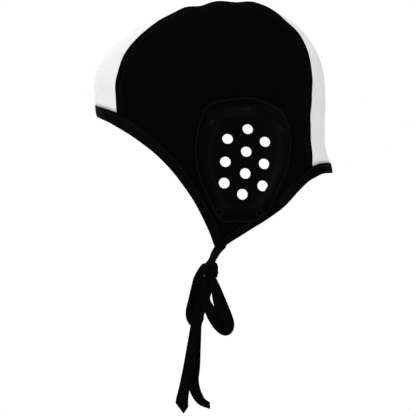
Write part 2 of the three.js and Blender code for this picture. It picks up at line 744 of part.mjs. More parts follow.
function alongRows(rows, place, side) {
  const curve = new THREE.CatmullRomCurve3(rows.map(place), false, 'centripetal');
  const steps = Math.ceil((rows.length - 1) * tapeSubdivisions);
  const stations = [];
  for (let step = 0; step <= steps; step += 1) {
    const share = step / steps;
    const position = share * (rows.length - 1);
    const index = Math.min(Math.floor(position), rows.length - 2);
    const mix = (column) => {
      const from = rows[index][column];
      return from + (rows[index + 1][column] - from) * (position - index);
    };
    const run = curve.getTangent(share);
    stations.push({ place: curve.getPoint(share), run, side: side(run, mix), wide: mix('wide') });
  }
  return stations;
}

const tipPlace = formAtSide(sideY(tipMiddle.along), sideZ(tipMiddle.down));
const knotY = tipPlace.y - tapeWidth;
const knotZ = tipPlace.z - chinDrop;
const tieLift = knotHeight * tieLiftShare;
const knotFoot = knotZ - Math.sin(knotPoles * Math.PI) * knotHeight / 2 - clearance;

function hangingTape(rows, length) {
  const place = (row) => new THREE.Vector3(
    row.lane * tapeSpacing,
    knotY + row.back * length,
    knotFoot - row.down * length,
  );
  const side = (run, mix) => {
    const roll = (mix('turn') * Math.PI) / 2;
    const level = new THREE.Vector3(0, -run.z, run.y).normalize();
    return level.multiplyScalar(Math.cos(roll)).add(new THREE.Vector3(Math.sin(roll), 0, 0));
  };
  return tape(alongRows(rows, place, side));
}

function tie() {
  const start = tipPlace.clone();
  start.z -= clearance + tapeThick * tieDropShare;
  start.x -= clothThick / 2;
  const end = new THREE.Vector3(knotDepth / 2 + clearance * 2, knotY, knotZ + tieLift);
  const place = (row) => new THREE.Vector3(
    start.x + (end.x - start.x) * row.inward,
    start.y + (end.y - start.y) * row.forward,
    start.z + (end.z - start.z) * row.down,
  );
  return tape(alongRows(tieRows, place, () => new THREE.Vector3(0, 1, 0)));
}

function bowKnot() {
  const sections = [];
  for (let ring = 0; ring <= knotRings; ring += 1) {
    const height = Math.sin((ring / knotRings - 0.5) * fullTurn * knotPoles);
    const girth = (1 - Math.abs(height) ** knotSquareness) ** (1 / knotSquareness);
    const section = [];
    for (let side = 0; side < knotSides; side += 1) {
      const angle = (side / knotSides) * fullTurn;
      section.push(new THREE.Vector3(
        Math.cos(angle) * girth * knotDepth / 2,
        knotY + Math.sin(angle) * girth * knotWidth / 2,
        knotZ + height * knotHeight / 2,
      ));
    }
    sections.push(section);
  }
  return sweptSolid(sections);
}

const group = new THREE.Group();
group.name = 'water_polo_cap';

function addPiece(name, geometry, finish) {
  geometry.computeVertexNormals();
  const piece = new THREE.Mesh(geometry, new THREE.MeshStandardMaterial(finish));
  piece.name = name;
  group.add(piece);
}

const panelLeft = sidePanel();
const guardLeft = earGuard();
const tieLeft = tie();
addPiece('side_panel_left', panelLeft, fabricBlack);
addPiece('side_panel_right', mirroredGeometry(panelLeft), fabricBlack);
addPiece('centre_panel', centrePanel(), fabricWhite);
addPiece('front_binding', binding(frontStations), fabricBlack);
addPiece('back_binding', binding(backStations), fabricBlack);
addPiece('ear_guard_left', guardLeft, plasticBlack);
addPiece('ear_guard_right', mirroredGeometry(guardLeft), plasticBlack);
addPiece('tie_left', tieLeft, fabricBlack);
addPiece('tie_right', mirroredGeometry(tieLeft), fabricBlack);
addPiece('bow_knot', bowKnot(), fabricBlack);
addPiece('bow_loop_front', hangingTape(frontLoopRows, loopLength), fabricBlack);
addPiece('bow_loop_back', hangingTape(backLoopRows, loopLength), fabricBlack);
addPiece('tie_tail_front', hangingTape(frontTailRows, tailLength), fabricBlack);
addPiece('tie_tail_back', hangingTape(backTailRows, tailLength), fabricBlack);

export default group;
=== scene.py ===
import json
from math import atan2, ceil, cos, exp, hypot, pi, radians, sin

import bmesh
import bpy
from mathutils import Euler, Vector, kdtree, noise
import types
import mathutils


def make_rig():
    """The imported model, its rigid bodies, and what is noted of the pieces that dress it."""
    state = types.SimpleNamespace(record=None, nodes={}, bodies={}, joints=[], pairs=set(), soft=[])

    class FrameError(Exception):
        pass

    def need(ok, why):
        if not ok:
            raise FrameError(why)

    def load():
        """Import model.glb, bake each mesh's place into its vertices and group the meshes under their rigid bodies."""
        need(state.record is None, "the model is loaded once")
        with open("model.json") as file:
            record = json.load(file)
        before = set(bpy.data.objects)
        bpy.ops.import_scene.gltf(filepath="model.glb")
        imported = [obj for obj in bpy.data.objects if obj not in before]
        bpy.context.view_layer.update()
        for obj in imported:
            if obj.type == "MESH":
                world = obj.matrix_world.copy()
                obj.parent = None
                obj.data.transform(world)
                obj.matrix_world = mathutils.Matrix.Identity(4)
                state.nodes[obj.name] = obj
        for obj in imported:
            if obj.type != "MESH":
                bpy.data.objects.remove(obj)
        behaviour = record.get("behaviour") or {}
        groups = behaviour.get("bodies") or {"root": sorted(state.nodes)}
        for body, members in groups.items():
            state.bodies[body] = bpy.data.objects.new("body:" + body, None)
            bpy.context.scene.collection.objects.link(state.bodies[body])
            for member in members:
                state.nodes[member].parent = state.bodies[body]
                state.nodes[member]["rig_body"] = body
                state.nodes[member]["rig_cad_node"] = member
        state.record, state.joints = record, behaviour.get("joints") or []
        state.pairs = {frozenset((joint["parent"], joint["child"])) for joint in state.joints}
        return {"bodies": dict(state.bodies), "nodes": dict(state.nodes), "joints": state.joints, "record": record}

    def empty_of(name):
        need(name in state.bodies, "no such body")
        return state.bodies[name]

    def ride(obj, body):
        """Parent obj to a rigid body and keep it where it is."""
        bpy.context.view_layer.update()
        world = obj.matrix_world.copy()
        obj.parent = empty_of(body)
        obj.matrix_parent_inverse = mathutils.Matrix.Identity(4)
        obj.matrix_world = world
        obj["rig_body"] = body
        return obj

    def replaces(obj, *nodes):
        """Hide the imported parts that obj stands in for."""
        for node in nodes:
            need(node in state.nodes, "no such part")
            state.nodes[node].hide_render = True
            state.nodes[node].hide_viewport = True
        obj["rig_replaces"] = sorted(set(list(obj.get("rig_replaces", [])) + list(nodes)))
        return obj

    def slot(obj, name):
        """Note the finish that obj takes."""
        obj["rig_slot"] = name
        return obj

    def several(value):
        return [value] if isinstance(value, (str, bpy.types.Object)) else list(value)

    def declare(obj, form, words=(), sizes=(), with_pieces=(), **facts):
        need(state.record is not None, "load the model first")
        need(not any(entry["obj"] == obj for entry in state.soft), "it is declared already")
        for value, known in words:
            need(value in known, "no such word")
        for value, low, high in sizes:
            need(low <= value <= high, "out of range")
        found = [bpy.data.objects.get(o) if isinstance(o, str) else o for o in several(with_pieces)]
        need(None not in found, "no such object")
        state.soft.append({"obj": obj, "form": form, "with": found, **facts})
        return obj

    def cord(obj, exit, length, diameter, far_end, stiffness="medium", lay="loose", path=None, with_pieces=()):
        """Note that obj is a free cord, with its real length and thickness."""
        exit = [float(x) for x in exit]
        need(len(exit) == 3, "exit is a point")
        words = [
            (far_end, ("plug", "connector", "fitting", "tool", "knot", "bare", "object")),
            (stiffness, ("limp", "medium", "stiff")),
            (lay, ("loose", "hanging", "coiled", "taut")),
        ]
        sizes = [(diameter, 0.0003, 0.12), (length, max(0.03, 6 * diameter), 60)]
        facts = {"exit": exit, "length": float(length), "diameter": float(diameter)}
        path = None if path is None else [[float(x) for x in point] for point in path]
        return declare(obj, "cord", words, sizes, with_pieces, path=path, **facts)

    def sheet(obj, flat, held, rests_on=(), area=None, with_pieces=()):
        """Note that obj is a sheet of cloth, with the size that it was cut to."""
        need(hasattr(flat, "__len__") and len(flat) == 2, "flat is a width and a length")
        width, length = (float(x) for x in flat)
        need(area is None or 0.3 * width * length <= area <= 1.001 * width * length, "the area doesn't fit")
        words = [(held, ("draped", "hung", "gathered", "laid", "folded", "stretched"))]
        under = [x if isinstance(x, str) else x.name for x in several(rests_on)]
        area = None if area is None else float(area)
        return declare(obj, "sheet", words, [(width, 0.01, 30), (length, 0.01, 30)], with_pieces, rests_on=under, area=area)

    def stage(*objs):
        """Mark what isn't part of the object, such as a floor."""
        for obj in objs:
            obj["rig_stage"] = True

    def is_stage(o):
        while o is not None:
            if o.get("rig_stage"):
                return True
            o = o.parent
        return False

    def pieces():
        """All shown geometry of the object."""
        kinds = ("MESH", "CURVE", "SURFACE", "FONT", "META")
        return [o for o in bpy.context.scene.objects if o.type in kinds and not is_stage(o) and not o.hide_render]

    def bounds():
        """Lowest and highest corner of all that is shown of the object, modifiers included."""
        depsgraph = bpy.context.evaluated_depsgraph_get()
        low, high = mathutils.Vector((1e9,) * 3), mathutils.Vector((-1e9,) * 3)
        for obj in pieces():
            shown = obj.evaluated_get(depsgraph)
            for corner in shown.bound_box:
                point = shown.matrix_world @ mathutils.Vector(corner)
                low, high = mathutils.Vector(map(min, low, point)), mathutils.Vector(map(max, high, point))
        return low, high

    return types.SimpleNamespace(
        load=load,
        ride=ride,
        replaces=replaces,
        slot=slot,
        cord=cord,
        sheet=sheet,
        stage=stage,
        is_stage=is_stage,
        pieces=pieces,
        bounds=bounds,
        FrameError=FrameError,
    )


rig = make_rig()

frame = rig.load()
cad_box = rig.bounds()
bpy.ops.object.select_all(action="DESELECT")

# Water polo cap. Sizes and tables are in millimetres and shares, and the objects that stay
# in Blender are in metres. +X is the wearer's left, -Y the face, +Z up.
MM = 0.001
FULL_TURN = pi * 2

CROWN_LENGTH = 201
CROWN_WIDTH = 154
CAP_HEIGHT = 213
CLOTH_THICK = 1.2
BINDING_WIDTH = 9.2
TOP_SEAM_HALF = 39
GUARD_WIDTH = 83
GUARD_HEIGHT = 107
GUARD_DEPTH = 13
GUARD_WALL = 1.8
GUARD_SEAT = 0.85
VENT_BORE = 9.4
LACE_BORE = 3.6
EAR_OPENING_WIDTH = 55
EAR_OPENING_HEIGHT = 76
TAPE_WIDTH = 8.8
TAPE_THICK = 1.2
TAPE_SPACING = 3.4
CHIN_DROP = 20.6
KNOT_WIDTH = 13.8
KNOT_HEIGHT = 12.6
KNOT_DEPTH = 15
LOOP_LENGTH = 55
TAIL_LENGTH = 122
CLEARANCE = 0.3

HALF_WIDTH = CROWN_WIDTH / 2


def side_y(along):
    return (along - 0.5) * CROWN_LENGTH


def side_z(down):
    return CLOTH_THICK - down * CAP_HEIGHT


HUB_Y = side_y(0.625)
HUB_Z = side_z(0.381)
HUB = Vector((0, HUB_Y, HUB_Z))
GUARD_Y = side_y(0.642)
GUARD_Z = side_z(0.635)


def linked(name, data):
    """An object with a mesh, light or camera, in the scene."""
    thing = bpy.data.objects.new(name, data)
    bpy.context.collection.objects.link(thing)
    return thing


# Camera: square on to the wearer's left, from far away, with the photograph's framing
CAMERA_DISTANCE = 12.0
FRAME_WIDTH = 0.3603
SENSOR = 36.0
AIM = Vector((0, -0.0017, -0.1756))

camera = linked("camera", bpy.data.cameras.new("camera"))
camera.data.sensor_width = SENSOR
camera.data.lens = SENSOR * CAMERA_DISTANCE / FRAME_WIDTH
camera.data.clip_start = 1.0
camera.data.clip_end = 100.0
camera.location = AIM + Vector((CAMERA_DISTANCE, 0, 0))
camera.rotation_euler = (pi / 2, 0, pi / 2)
bpy.context.scene.camera = camera

# Tapes of the bow from the foot of the knot, as shares of their length:
# back, down, lane across the bow, turn in quarter turns, share of the full width
FRONT_LOOP = (
    (-0.092, -0.19, -1.95, 0.1, 0.35),
    (-0.144, -0.085, -1.95, 0.1, 0.73),
    (-0.178, 0.035, -1.95, 0.05, 1.08),
    (-0.219, 0.2, -2, 0, 1.08),
    (-0.265, 0.38, -2, 0, 1.02),
    (-0.306, 0.55, -2, 0.1, 1),
    (-0.295, 0.68, -2.1, 0.4, 1),
    (-0.233, 0.75, -2.05, 0.6, 1),
    (-0.173, 0.69, -1.8, 0.4, 0.95),
    (-0.163, 0.562, -1.5, 0.1, 0.92),
    (-0.125, 0.382, -1.35, 0, 0.97),
    (-0.07, 0.212, -1.3, 0, 0.9),
    (0.02, 0.06, -1.2, 0.05, 0.65),
    (0.025, 0, -1.2, 0, 0.55),
)
BACK_LOOP = (
    (0.04, 0, 1.55, 0, 0.6),
    (0.05, 0.06, 1.65, 0.05, 0.8),
    (0.1, 0.212, 1.9, 0, 1.04),
    (0.153, 0.392, 2, 0, 1.32),
    (0.231, 0.582, 2.05, 0, 1.31),
    (0.297, 0.742, 2.05, 0.2, 1.15),
    (0.293, 0.845, 2, 0.6, 1.1),
    (0.225, 0.865, 1.75, 0.6, 1.1),
    (0.135, 0.75, 1.45, 0.15, 1.26),
    (0.046, 0.6, 1.35, 0, 1.26),
    (-0.056, 0.402, 1.3, 0, 0.9),
    (-0.078, 0.212, 1.25, 0, 0.9),
    (-0.052, 0.06, 1.1, 0.05, 0.65),
    (-0.05, 0, 1.1, 0, 0.55),
)
FRONT_TAIL = (
    (-0.018, 0, 0.35, 0, 0.6),
    (-0.021, 0.03, 0.38, 0, 0.75),
    (-0.054, 0.137, 0.45, 0, 1),
    (-0.096, 0.317, 0.5, 0, 1.02),
    (-0.122, 0.467, 0.5, 0, 1.05),
    (-0.152, 0.637, 0.5, 0, 1.05),
    (-0.178, 0.767, 0.5, 0, 1.06),
    (-0.196, 0.867, 0.5, 0, 1.14),
    (-0.203, 0.955, 0.5, 0, 1.3),
)
BACK_TAIL = (
    (0.004, 0, -0.35, 0, 0.6),
    (0.001, 0.03, -0.38, 0, 0.75),
    (-0.033, 0.137, -0.45, 0, 1),
    (-0.09, 0.317, -0.5, 0, 0.98),
    (-0.1, 0.467, -0.5, 0, 1),
    (-0.107, 0.637, -0.5, 0, 1.02),
    (-0.117, 0.727, -0.5, 0.1, 1.06),
    (-0.105, 0.807, -0.5, 0.25, 1.16),
    (-0.063, 0.878, -0.5, 0.4, 1.1),
    (0.002, 0.916, -0.5, 0.5, 0.78),
)
# One tie: shares of the way inward, down and forward, and of the full width
TIE = (
    (0, 0, 0, 1.05),
    (0.2, 0.3, 0.42, 0.9),
    (0.5, 0.62, 0.74, 0.75),
    (0.8, 0.87, 1.04, 0.95),
    (1, 1, 1.3, 1.15),
)

# Mid line of the crown from the side: along, down, flat, round
CREST = (
    (0.015, 0.460, 0, 2.1),
    (0.005, 0.392, 0, 2.1),
    (0.001, 0.311, 0, 2.15),
    (0.035, 0.220, 0, 2.2),
    (0.110, 0.146, 0.06, 2.35),
    (0.238, 0.070, 0.26, 2.3),
    (0.400, 0.014, 0.40, 2.3),
    (0.580, -0.006, 0.43, 2.3),
    (0.739, 0.013, 0.41, 2.3),
    (0.859, 0.076, 0.22, 2.3),
    (0.945, 0.171, 0.04, 2.25),
    (0.989, 0.278, 0, 2.0),
    (0.999, 0.391, 0, 1.8),
    (0.995, 0.514, 0, 1.7),
    (1.000, 0.597, 0, 1.7),
    (1.025, 0.686, 0, 1.75),
    (0.968, 0.780, 0, 1.8),
    (0.898, 0.935, 0, 2.0),
    (0.818, 1.095, 0, 2.2),
    (0.540, 1.151, 0, 2.3),
    (0.313, 1.042, 0, 2.3),
    (0.165, 0.863, 0, 2.2),
    (0.082, 0.677, 0, 2.15),
    (0.041, 0.539, 0, 2.1),
)

# Outer edge of the rims from the mid line to the flap tip: along, down
FRONT_RIM = (
    (0.015, 0.460), (0.052, 0.477), (0.103, 0.503), (0.177, 0.546), (0.246, 0.594),
    (0.302, 0.643), (0.349, 0.692), (0.388, 0.741), (0.424, 0.790), (0.453, 0.838),
    (0.479, 0.887), (0.502, 0.936), (0.519, 0.981),
)
BACK_RIM = (
    (1.024, 0.688), (0.985, 0.692), (0.940, 0.713), (0.883, 0.760), (0.831, 0.814),
    (0.769, 0.861), (0.688, 0.910), (0.607, 0.958), (0.569, 0.981),
)
TIP_MIDDLE = (0.544, 0.983)
# Row of both rims where a seam ends
CORNER_ROW = 2

# Outline and bores of an ear guard, as shares of half its width and height: back, up
GUARD_OUTLINE = (
    (-0.06, 1.0), (0.19, 1.0), (0.46, 0.93), (0.83, 0.76), (0.94, 0.58), (1.0, 0.3), (0.98, 0.08),
    (0.9, -0.21), (0.77, -0.42), (0.6, -0.71), (0.4, -0.93), (0.15, -1.0), (-0.14, -1.0),
    (-0.5, -0.965), (-0.61, -0.81), (-0.755, -0.57), (-0.95, -0.18), (-1.0, 0.12), (-0.96, 0.42),
    (-0.87, 0.69), (-0.78, 0.84), (-0.37, 0.97),
)
VENTS = (
    (0.10, 0.50), (0.07, 0.136), (0.05, -0.217), (-0.01, -0.555), (-0.32, 0.343),
    (-0.365, -0.028), (-0.39, -0.372), (0.46, 0.295), (0.44, -0.062), (0.41, -0.418),
)
LACE_HOLES = ((-0.49, -0.84), (0.34, -0.85))
# Dome of a guard: share of the way out, share of the depth, lift in millimetres
GUARD_DOME = (
    (1.0, 0.0, 0.35),
    (0.985, 0.0, 0.45),
    (0.965, 0.0, 0.35),
    (0.955, 0.0, 0.0),
    (0.92, 0.004, 0),
    (0.88, 0.015, 0),
    (0.85, 0.07, 0),
    (0.82, 0.18, 0),
    (0.79, 0.34, 0),
    (0.76, 0.51, 0),
    (0.73, 0.64, 0),
    (0.69, 0.75, 0),
    (0.64, 0.83, 0),
    (0.57, 0.89, 0),
    (0.48, 0.935, 0),
    (0.37, 0.965, 0),
    (0.25, 0.985, 0),
    (0.12, 0.998, 0),
)


# The form of the crown
TABLE_STEPS = 1440
ANGLE_HALVINGS = 30
LEVEL_HALVINGS = 26
SNAP_STEPS = 5
NORMAL_STEP = 0.4


def smooth_step(share):
    bounded = min(1, max(0, share))
    return bounded * bounded * (3 - 2 * bounded)


def mirrored(point):
    return Vector((-point.x, point.y, point.z))


def ring_rows(rows):
    """Rows of (y, z, more columns) as (angle, (reach, more columns)), sorted by angle."""
    return sorted((atan2(z, y), (hypot(y, z), *more)) for y, z, *more in rows)


def mean_slope(before, here, after):
    span, next_span = here[0] - before[0], after[0] - here[0]
    slope, next_slope = (here[1] - before[1]) / span, (after[1] - here[1]) / next_span
    return (slope * next_span + next_slope * span) / (span + next_span)


def eased(before, start, end, after, place):
    """Smooth value between two (place, value) rows, led by the rows on either side."""
    span = end[0] - start[0]
    share = (place - start[0]) / span
    rest = 1 - share
    start_slope = mean_slope(before, start, end) * span
    end_slope = mean_slope(start, end, after) * span
    first = rest * rest * ((1 + 2 * share) * start[1] + share * start_slope)
    return first + share * share * ((3 - 2 * share) * end[1] - rest * end_slope)


def column_around(ring, column, angle):
    """Smooth value of a column at an angle."""
    count = len(ring)
    local = (angle - ring[0][0]) % FULL_TURN + ring[0][0]
    index = max(i for i in range(count) if ring[i][0] <= local)

    def row(offset):
        turns, wrapped = divmod(index + offset, count)
        return ring[wrapped][0] + FULL_TURN * turns, ring[wrapped][1][column]

    return eased(row(-1), row(0), row(1), row(2), local)


CREST_RING = ring_rows(
    (side_y(a) - HUB_Y, side_z(d) - HUB_Z, flat, rounding) for a, d, flat, rounding in CREST
)
CREST_TABLE = [
    tuple(column_around(CREST_RING, column, step / TABLE_STEPS * FULL_TURN) for column in range(3))
    for step in range(TABLE_STEPS)
]


def crest_at(angle):
    """Reach, flat and round of the crown at an angle round the hub."""
    place = (angle / FULL_TURN % 1.0) * TABLE_STEPS
    low = int(place) % TABLE_STEPS
    high = (low + 1) % TABLE_STEPS
    share = place - int(place)
    return [a + (b - a) * share for a, b in zip(CREST_TABLE[low], CREST_TABLE[high])]


def hub_angle(y, z):
    return atan2(z - HUB_Z, y - HUB_Y)


def section_shape(flat, rounding, share):
    """How flat the cross-section is at a share of the way out, and the power of its curve."""
    settle = smooth_step(share)
    return flat * settle, 2 + (rounding - 2) * settle


def section_half(flat, rounding, share):
    """Half width of the cross-section at a share of the way out, as a share of the full one."""
    if share >= 1:
        return 0
    flat, power = section_shape(flat, rounding, share)
    return flat + (1 - flat) * (1 - share**power) ** (1 / power)


def crest_share(y, z):
    """Share of the way out from the hub, with the flat and round of the crown there."""
    reach, flat, rounding = crest_at(hub_angle(y, z))
    return hypot(y - HUB_Y, z - HUB_Z) / reach, flat, rounding


def form_at_side(y, z):
    share, flat, rounding = crest_share(y, z)
    return Vector((HALF_WIDTH * section_half(flat, rounding, share), y, z))


def narrowed(low, high, halvings, is_low):
    """Upper end of a span that is halved towards the place where is_low turns false."""
    for _ in range(halvings):
        middle = (low + high) / 2
        if is_low(middle):
            low = middle
        else:
            high = middle
    return high


def form_at_angle(angle, x):
    reach, flat, rounding = crest_at(angle)

    def too_near(share):
        return HALF_WIDTH * section_half(flat, rounding, share) > abs(x)

    reach *= narrowed(0.0, 1.0, ANGLE_HALVINGS, too_near)
    return Vector((x, HUB_Y + cos(angle) * reach, HUB_Z + sin(angle) * reach))


def form_level(point):
    """Size of the form that passes through a point: 1 on it, less inside."""
    share, flat, rounding = crest_share(point.y, point.z)
    flat, power = section_shape(flat, rounding, share)
    out = abs(point.x) / HALF_WIDTH
    if out <= flat * share:
        return share

    def too_small(level):
        bulge = (1 - (share / level) ** power) ** (1 / power)
        return level * (flat + (1 - flat) * bulge) < out

    low = max(share, out)
    return narrowed(low, 2 * low, LEVEL_HALVINGS, too_small)


def snap_to_form(point):
    snapped = point.copy()
    for _ in range(SNAP_STEPS):
        snapped = (snapped - HUB) / form_level(snapped) + HUB
    return snapped


def form_normal(point):
    slopes = []
    for axis in range(3):
        ahead, behind = point.copy(), point.copy()
        ahead[axis] += NORMAL_STEP
        behind[axis] -= NORMAL_STEP
        slopes.append(form_level(ahead) - form_level(behind))
    return Vector(slopes).normalized()


# Curves and waves
SMALL_STEP = 1e-4


def curve_point(points, share):
    """Centripetal curve through the points, at a share of its rows."""
    last = len(points) - 1
    place = min(max(share, 0), 1) * last
    index = min(int(place), last - 1)
    t = place - index
    p1, p2 = points[index], points[index + 1]
    p0 = points[index - 1] if index > 0 else 2 * p1 - p2
    p3 = points[index + 2] if index + 2 <= last else 2 * p2 - p1
    d0, d1, d2 = (max((b - a).length ** 0.5, SMALL_STEP) for a, b in ((p0, p1), (p1, p2), (p2, p3)))
    m1 = ((p1 - p0) / d0 - (p2 - p0) / (d0 + d1) + (p2 - p1) / d1) * d1
    m2 = ((p2 - p1) / d1 - (p3 - p1) / (d1 + d2) + (p3 - p2) / d2) * d1
    start = (2 * t**3 - 3 * t**2 + 1) * p1 + (t**3 - 2 * t**2 + t) * m1
    return start + (3 * t**2 - 2 * t**3) * p2 + (t**3 - t**2) * m2


def curve_run(points, share):
    ahead = curve_point(points, share + SMALL_STEP)
    return (ahead - curve_point(points, share - SMALL_STEP)).normalized()


def distances(points):
    """Distance travelled along a line of points, at each of them."""
    travelled = [0.0]
    for start, end in zip(points, points[1:]):
        travelled.append(travelled[-1] + (end - start).length)
    return travelled


def row_value(rows, column, share):
    place = share * (len(rows) - 1)
    index = min(int(place), len(rows) - 2)
    return rows[index][column] + (rows[index + 1][column] - rows[index][column]) * (place - index)


def value_at(rows, place):
    """Smooth value at a place of a table of (place, value) rows."""
    bounded = min(max(place, rows[0][0]), rows[-1][0])
    first = (2 * rows[0][0] - rows[1][0], rows[0][1])
    last = (2 * rows[-1][0] - rows[-2][0], rows[-1][1])
    whole = (first, *rows, last)
    index = max(i for i in range(1, len(rows)) if whole[i][0] <= bounded)
    return eased(*whole[index - 1 : index + 3], bounded)


def waves(rows, place):
    """Sum of waves at a place; a row is the height, the pace and the start of one wave."""
    return sum(height * sin(place * pace + start) for height, pace, start in rows)


# Meshes


def new_piece(name, points, faces, uvs=None):
    """A smooth piece from corner points in millimetres; uvs are one pair a corner point."""
    mesh = bpy.data.meshes.new(name)
    mesh.from_pydata([tuple(p * MM) for p in points], [], faces)
    if uvs:
        layer = mesh.uv_layers.new(name="surface")
        for loop in mesh.loops:
            layer.data[loop.index].uv = uvs[loop.vertex_index]
    shape = bmesh.new()
    shape.from_mesh(mesh)
    if shape.calc_volume(signed=True) < 0:
        mesh.flip_normals()
    shape.free()
    mesh.shade_smooth()
    mesh.update()
    return linked(name, mesh)


def closed_grid(rows, closed, strips):
    """Faces of a tube of rows that all have the same number of corners. An open tube's ends
    are one face each, or strips between the facing halves of a row."""
    corners = len(rows[0])
    faces = []
    for row in range(len(rows) if closed else len(rows) - 1):
        here, following = row * corners, (row + 1) % len(rows) * corners
        for corner in range(corners):
            beside = (corner + 1) % corners
            faces.append((here + corner, here + beside, following + beside, following + corner))
    end = (len(rows) - 1) * corners
    if strips:
        for corner in range(corners // 2 - 1):
            facing = corners - 1 - corner
            strip = (corner, facing, facing - 1, corner + 1)
            faces += [strip, tuple(end + place for place in reversed(strip))]
    elif not closed:
        faces += [tuple(range(corners - 1, -1, -1)), tuple(range(end, end + corners))]
    return faces


def grid_piece(name, rows, uvs, closed=False, strips=False):
    """A piece from rows of corner points, each row joined to the next."""
    points = [point for row in rows for point in row]
    return new_piece(name, points, closed_grid(rows, closed, strips), uvs)


def mirrored_copy(piece, name):
    mesh = piece.data.copy()
    mesh.name = name
    for vertex in mesh.vertices:
        vertex.co.x = -vertex.co.x
    mesh.flip_normals()
    return linked(name, mesh)


def primitive(add, **settings):
    """What an operator adds, with its place and turn put into its mesh."""
    add(**settings)
    bpy.ops.object.transform_apply(location=True, rotation=True, scale=True)
    return bpy.context.active_object


def select_only(piece):
    bpy.ops.object.select_all(action="DESELECT")
    piece.select_set(True)
    bpy.context.view_layer.objects.active = piece


def join_pieces(pieces, name):
    select_only(pieces[0])
    for piece in pieces[1:]:
        piece.select_set(True)
    bpy.ops.object.join()
    joined = bpy.context.view_layer.objects.active
    joined.name = name
    joined.data.name = name
    return joined


def apply_modifier(piece, kind, **settings):
    select_only(piece)
    modifier = piece.modifiers.new(kind.lower(), kind)
    for setting, value in settings.items():
        setattr(modifier, setting, value)
    bpy.ops.object.modifier_apply(modifier=modifier.name)


def search_tree(places):
    """Tree that finds the place nearest to a point."""
    tree = kdtree.KDTree(len(places))
    for index, place in enumerate(places):
        tree.insert(place, index)
    tree.balance()
    return tree


def mark_piece(piece, mark, value_of):
    """Give each corner point a value, worked out from its place in millimetres."""
    values = piece.data.attributes.new(mark, "FLOAT", "POINT")
    for vertex, value in zip(piece.data.vertices, values.data):
        value.value = value_of(vertex.co / MM)


def settle_piece(piece, slot, node=None):
    """Ride the cap's one body, take the finish of a slot and stand for a solid, if any."""
    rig.ride(piece, "root")
    if node:
        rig.replaces(piece, node)
    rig.slot(piece, slot)


# Tapes of the tie and bow
# Upper half of a tape's section: share of half the width, share of the thickness
TAPE_TOP = (
    (-1.0, 0.0), (-0.97, 0.36), (-0.86, 0.5), (-0.70, 0.46), (-0.64, 0.34), (-0.58, 0.46),
    (0.0, 0.42), (0.35, 0.43), (0.86, 0.5), (0.97, 0.36), (1.0, 0.0),
)
TAPE_SECTION = TAPE_TOP + tuple((x, -y) for x, y in TAPE_TOP[-2:0:-1])
TAPE_RIPPLE = 0.12
RIPPLE_ALONG = 1.9
RIPPLE_ACROSS = 2.0
CUT_REACH = 22
CORD_WIDTH = 0.0080
KNOT_POLE = 0.45 * pi
KNOT_ENTRY = 0.35
TIE_ENTRY = 1.5
TIE_TUCK = Vector((0.6, 1.8, 3.6))
TIE_TUCK_ROW = (0, 0, 0, 1.02)
# Cuts of the two tails: how far the end runs on, and how fast it falls off across the tape
POINT_PLACE = 0.35
POINT_OUT = 1.9
POINT_FALLS = (6.6, 9.8)
SLANT_OUT = -0.4
SLANT_FALL = 1.5

tip = form_at_side(side_y(TIP_MIDDLE[0]), side_z(TIP_MIDDLE[1]))
KNOT_Y = tip.y - TAPE_WIDTH
KNOT_Z = tip.z - CHIN_DROP
KNOT_FOOT = KNOT_Z - sin(KNOT_POLE) * KNOT_HEIGHT / 2 - CLEARANCE


def tape_piece(name, stations, end_cut):
    """A flat tape through stations of (place, run, side, width), with rounded edges and a
    sewn groove near one edge. end_cut gives how far the end runs on at a share across."""
    rows, uvs = [], []
    travelled = distances([place for place, *_more in stations])
    for (place, run, side, width), along in zip(stations, travelled):
        across = (side - run * side.dot(run)).normalized()
        through = run.cross(across)
        row = []
        for x, y in TAPE_SECTION:
            ripple = TAPE_RIPPLE * sin(along * RIPPLE_ALONG + x * RIPPLE_ACROSS) * (1 - abs(x))
            point = place + across * (x * width / 2) + through * (y * TAPE_THICK + ripple)
            if end_cut:
                point += run * end_cut(x) * max(0, 1 - (travelled[-1] - along) / CUT_REACH)
            row.append(point)
            uvs.append((x * width / 2 * MM, along * MM))
        rows.append(row)
    return grid_piece(name, rows, uvs)


def pointed_end(x):
    """The front tail is cut to an off-centre point."""
    before, after = max(0, POINT_PLACE - x), max(0, x - POINT_PLACE)
    return POINT_OUT - POINT_FALLS[0] * before - POINT_FALLS[1] * after


def slanted_end(x):
    """The back tail is cut on a slant."""
    return SLANT_OUT - SLANT_FALL * x


def tape_stations(points, rows, steps, side_at):
    """Stations along a curve; rows end in the share of the tape's full width."""
    stations = []
    for step in range(steps + 1):
        share = step / steps
        run = curve_run(points, share)
        width = TAPE_WIDTH * row_value(rows, -1, share)
        stations.append((curve_point(points, share), run, side_at(run, share), width))
    return stations


def hanging_stations(rows, length, steps):
    """Stations of a tape of the bow, whose start and any end at the knot's foot run into it."""
    points = [
        Vector((lane * TAPE_SPACING, KNOT_Y + back * length, KNOT_FOOT - down * length))
        for back, down, lane, _turn, _wide in rows
    ]
    middle = Vector((0, KNOT_Y, KNOT_Z))
    rows = (rows[0], *rows)
    points.insert(0, points[0].lerp(middle, KNOT_ENTRY))
    if rows[-1][1] == 0:
        rows = (*rows, rows[-1])
        points.append(points[-1].lerp(middle, KNOT_ENTRY))

    def side_at(run, share):
        roll = row_value(rows, 3, share) * pi / 2
        level = Vector((0, -run.z, run.y)).normalized()
        return level * cos(roll) + Vector((sin(roll), 0, 0))

    return tape_stations(points, rows, steps, side_at)


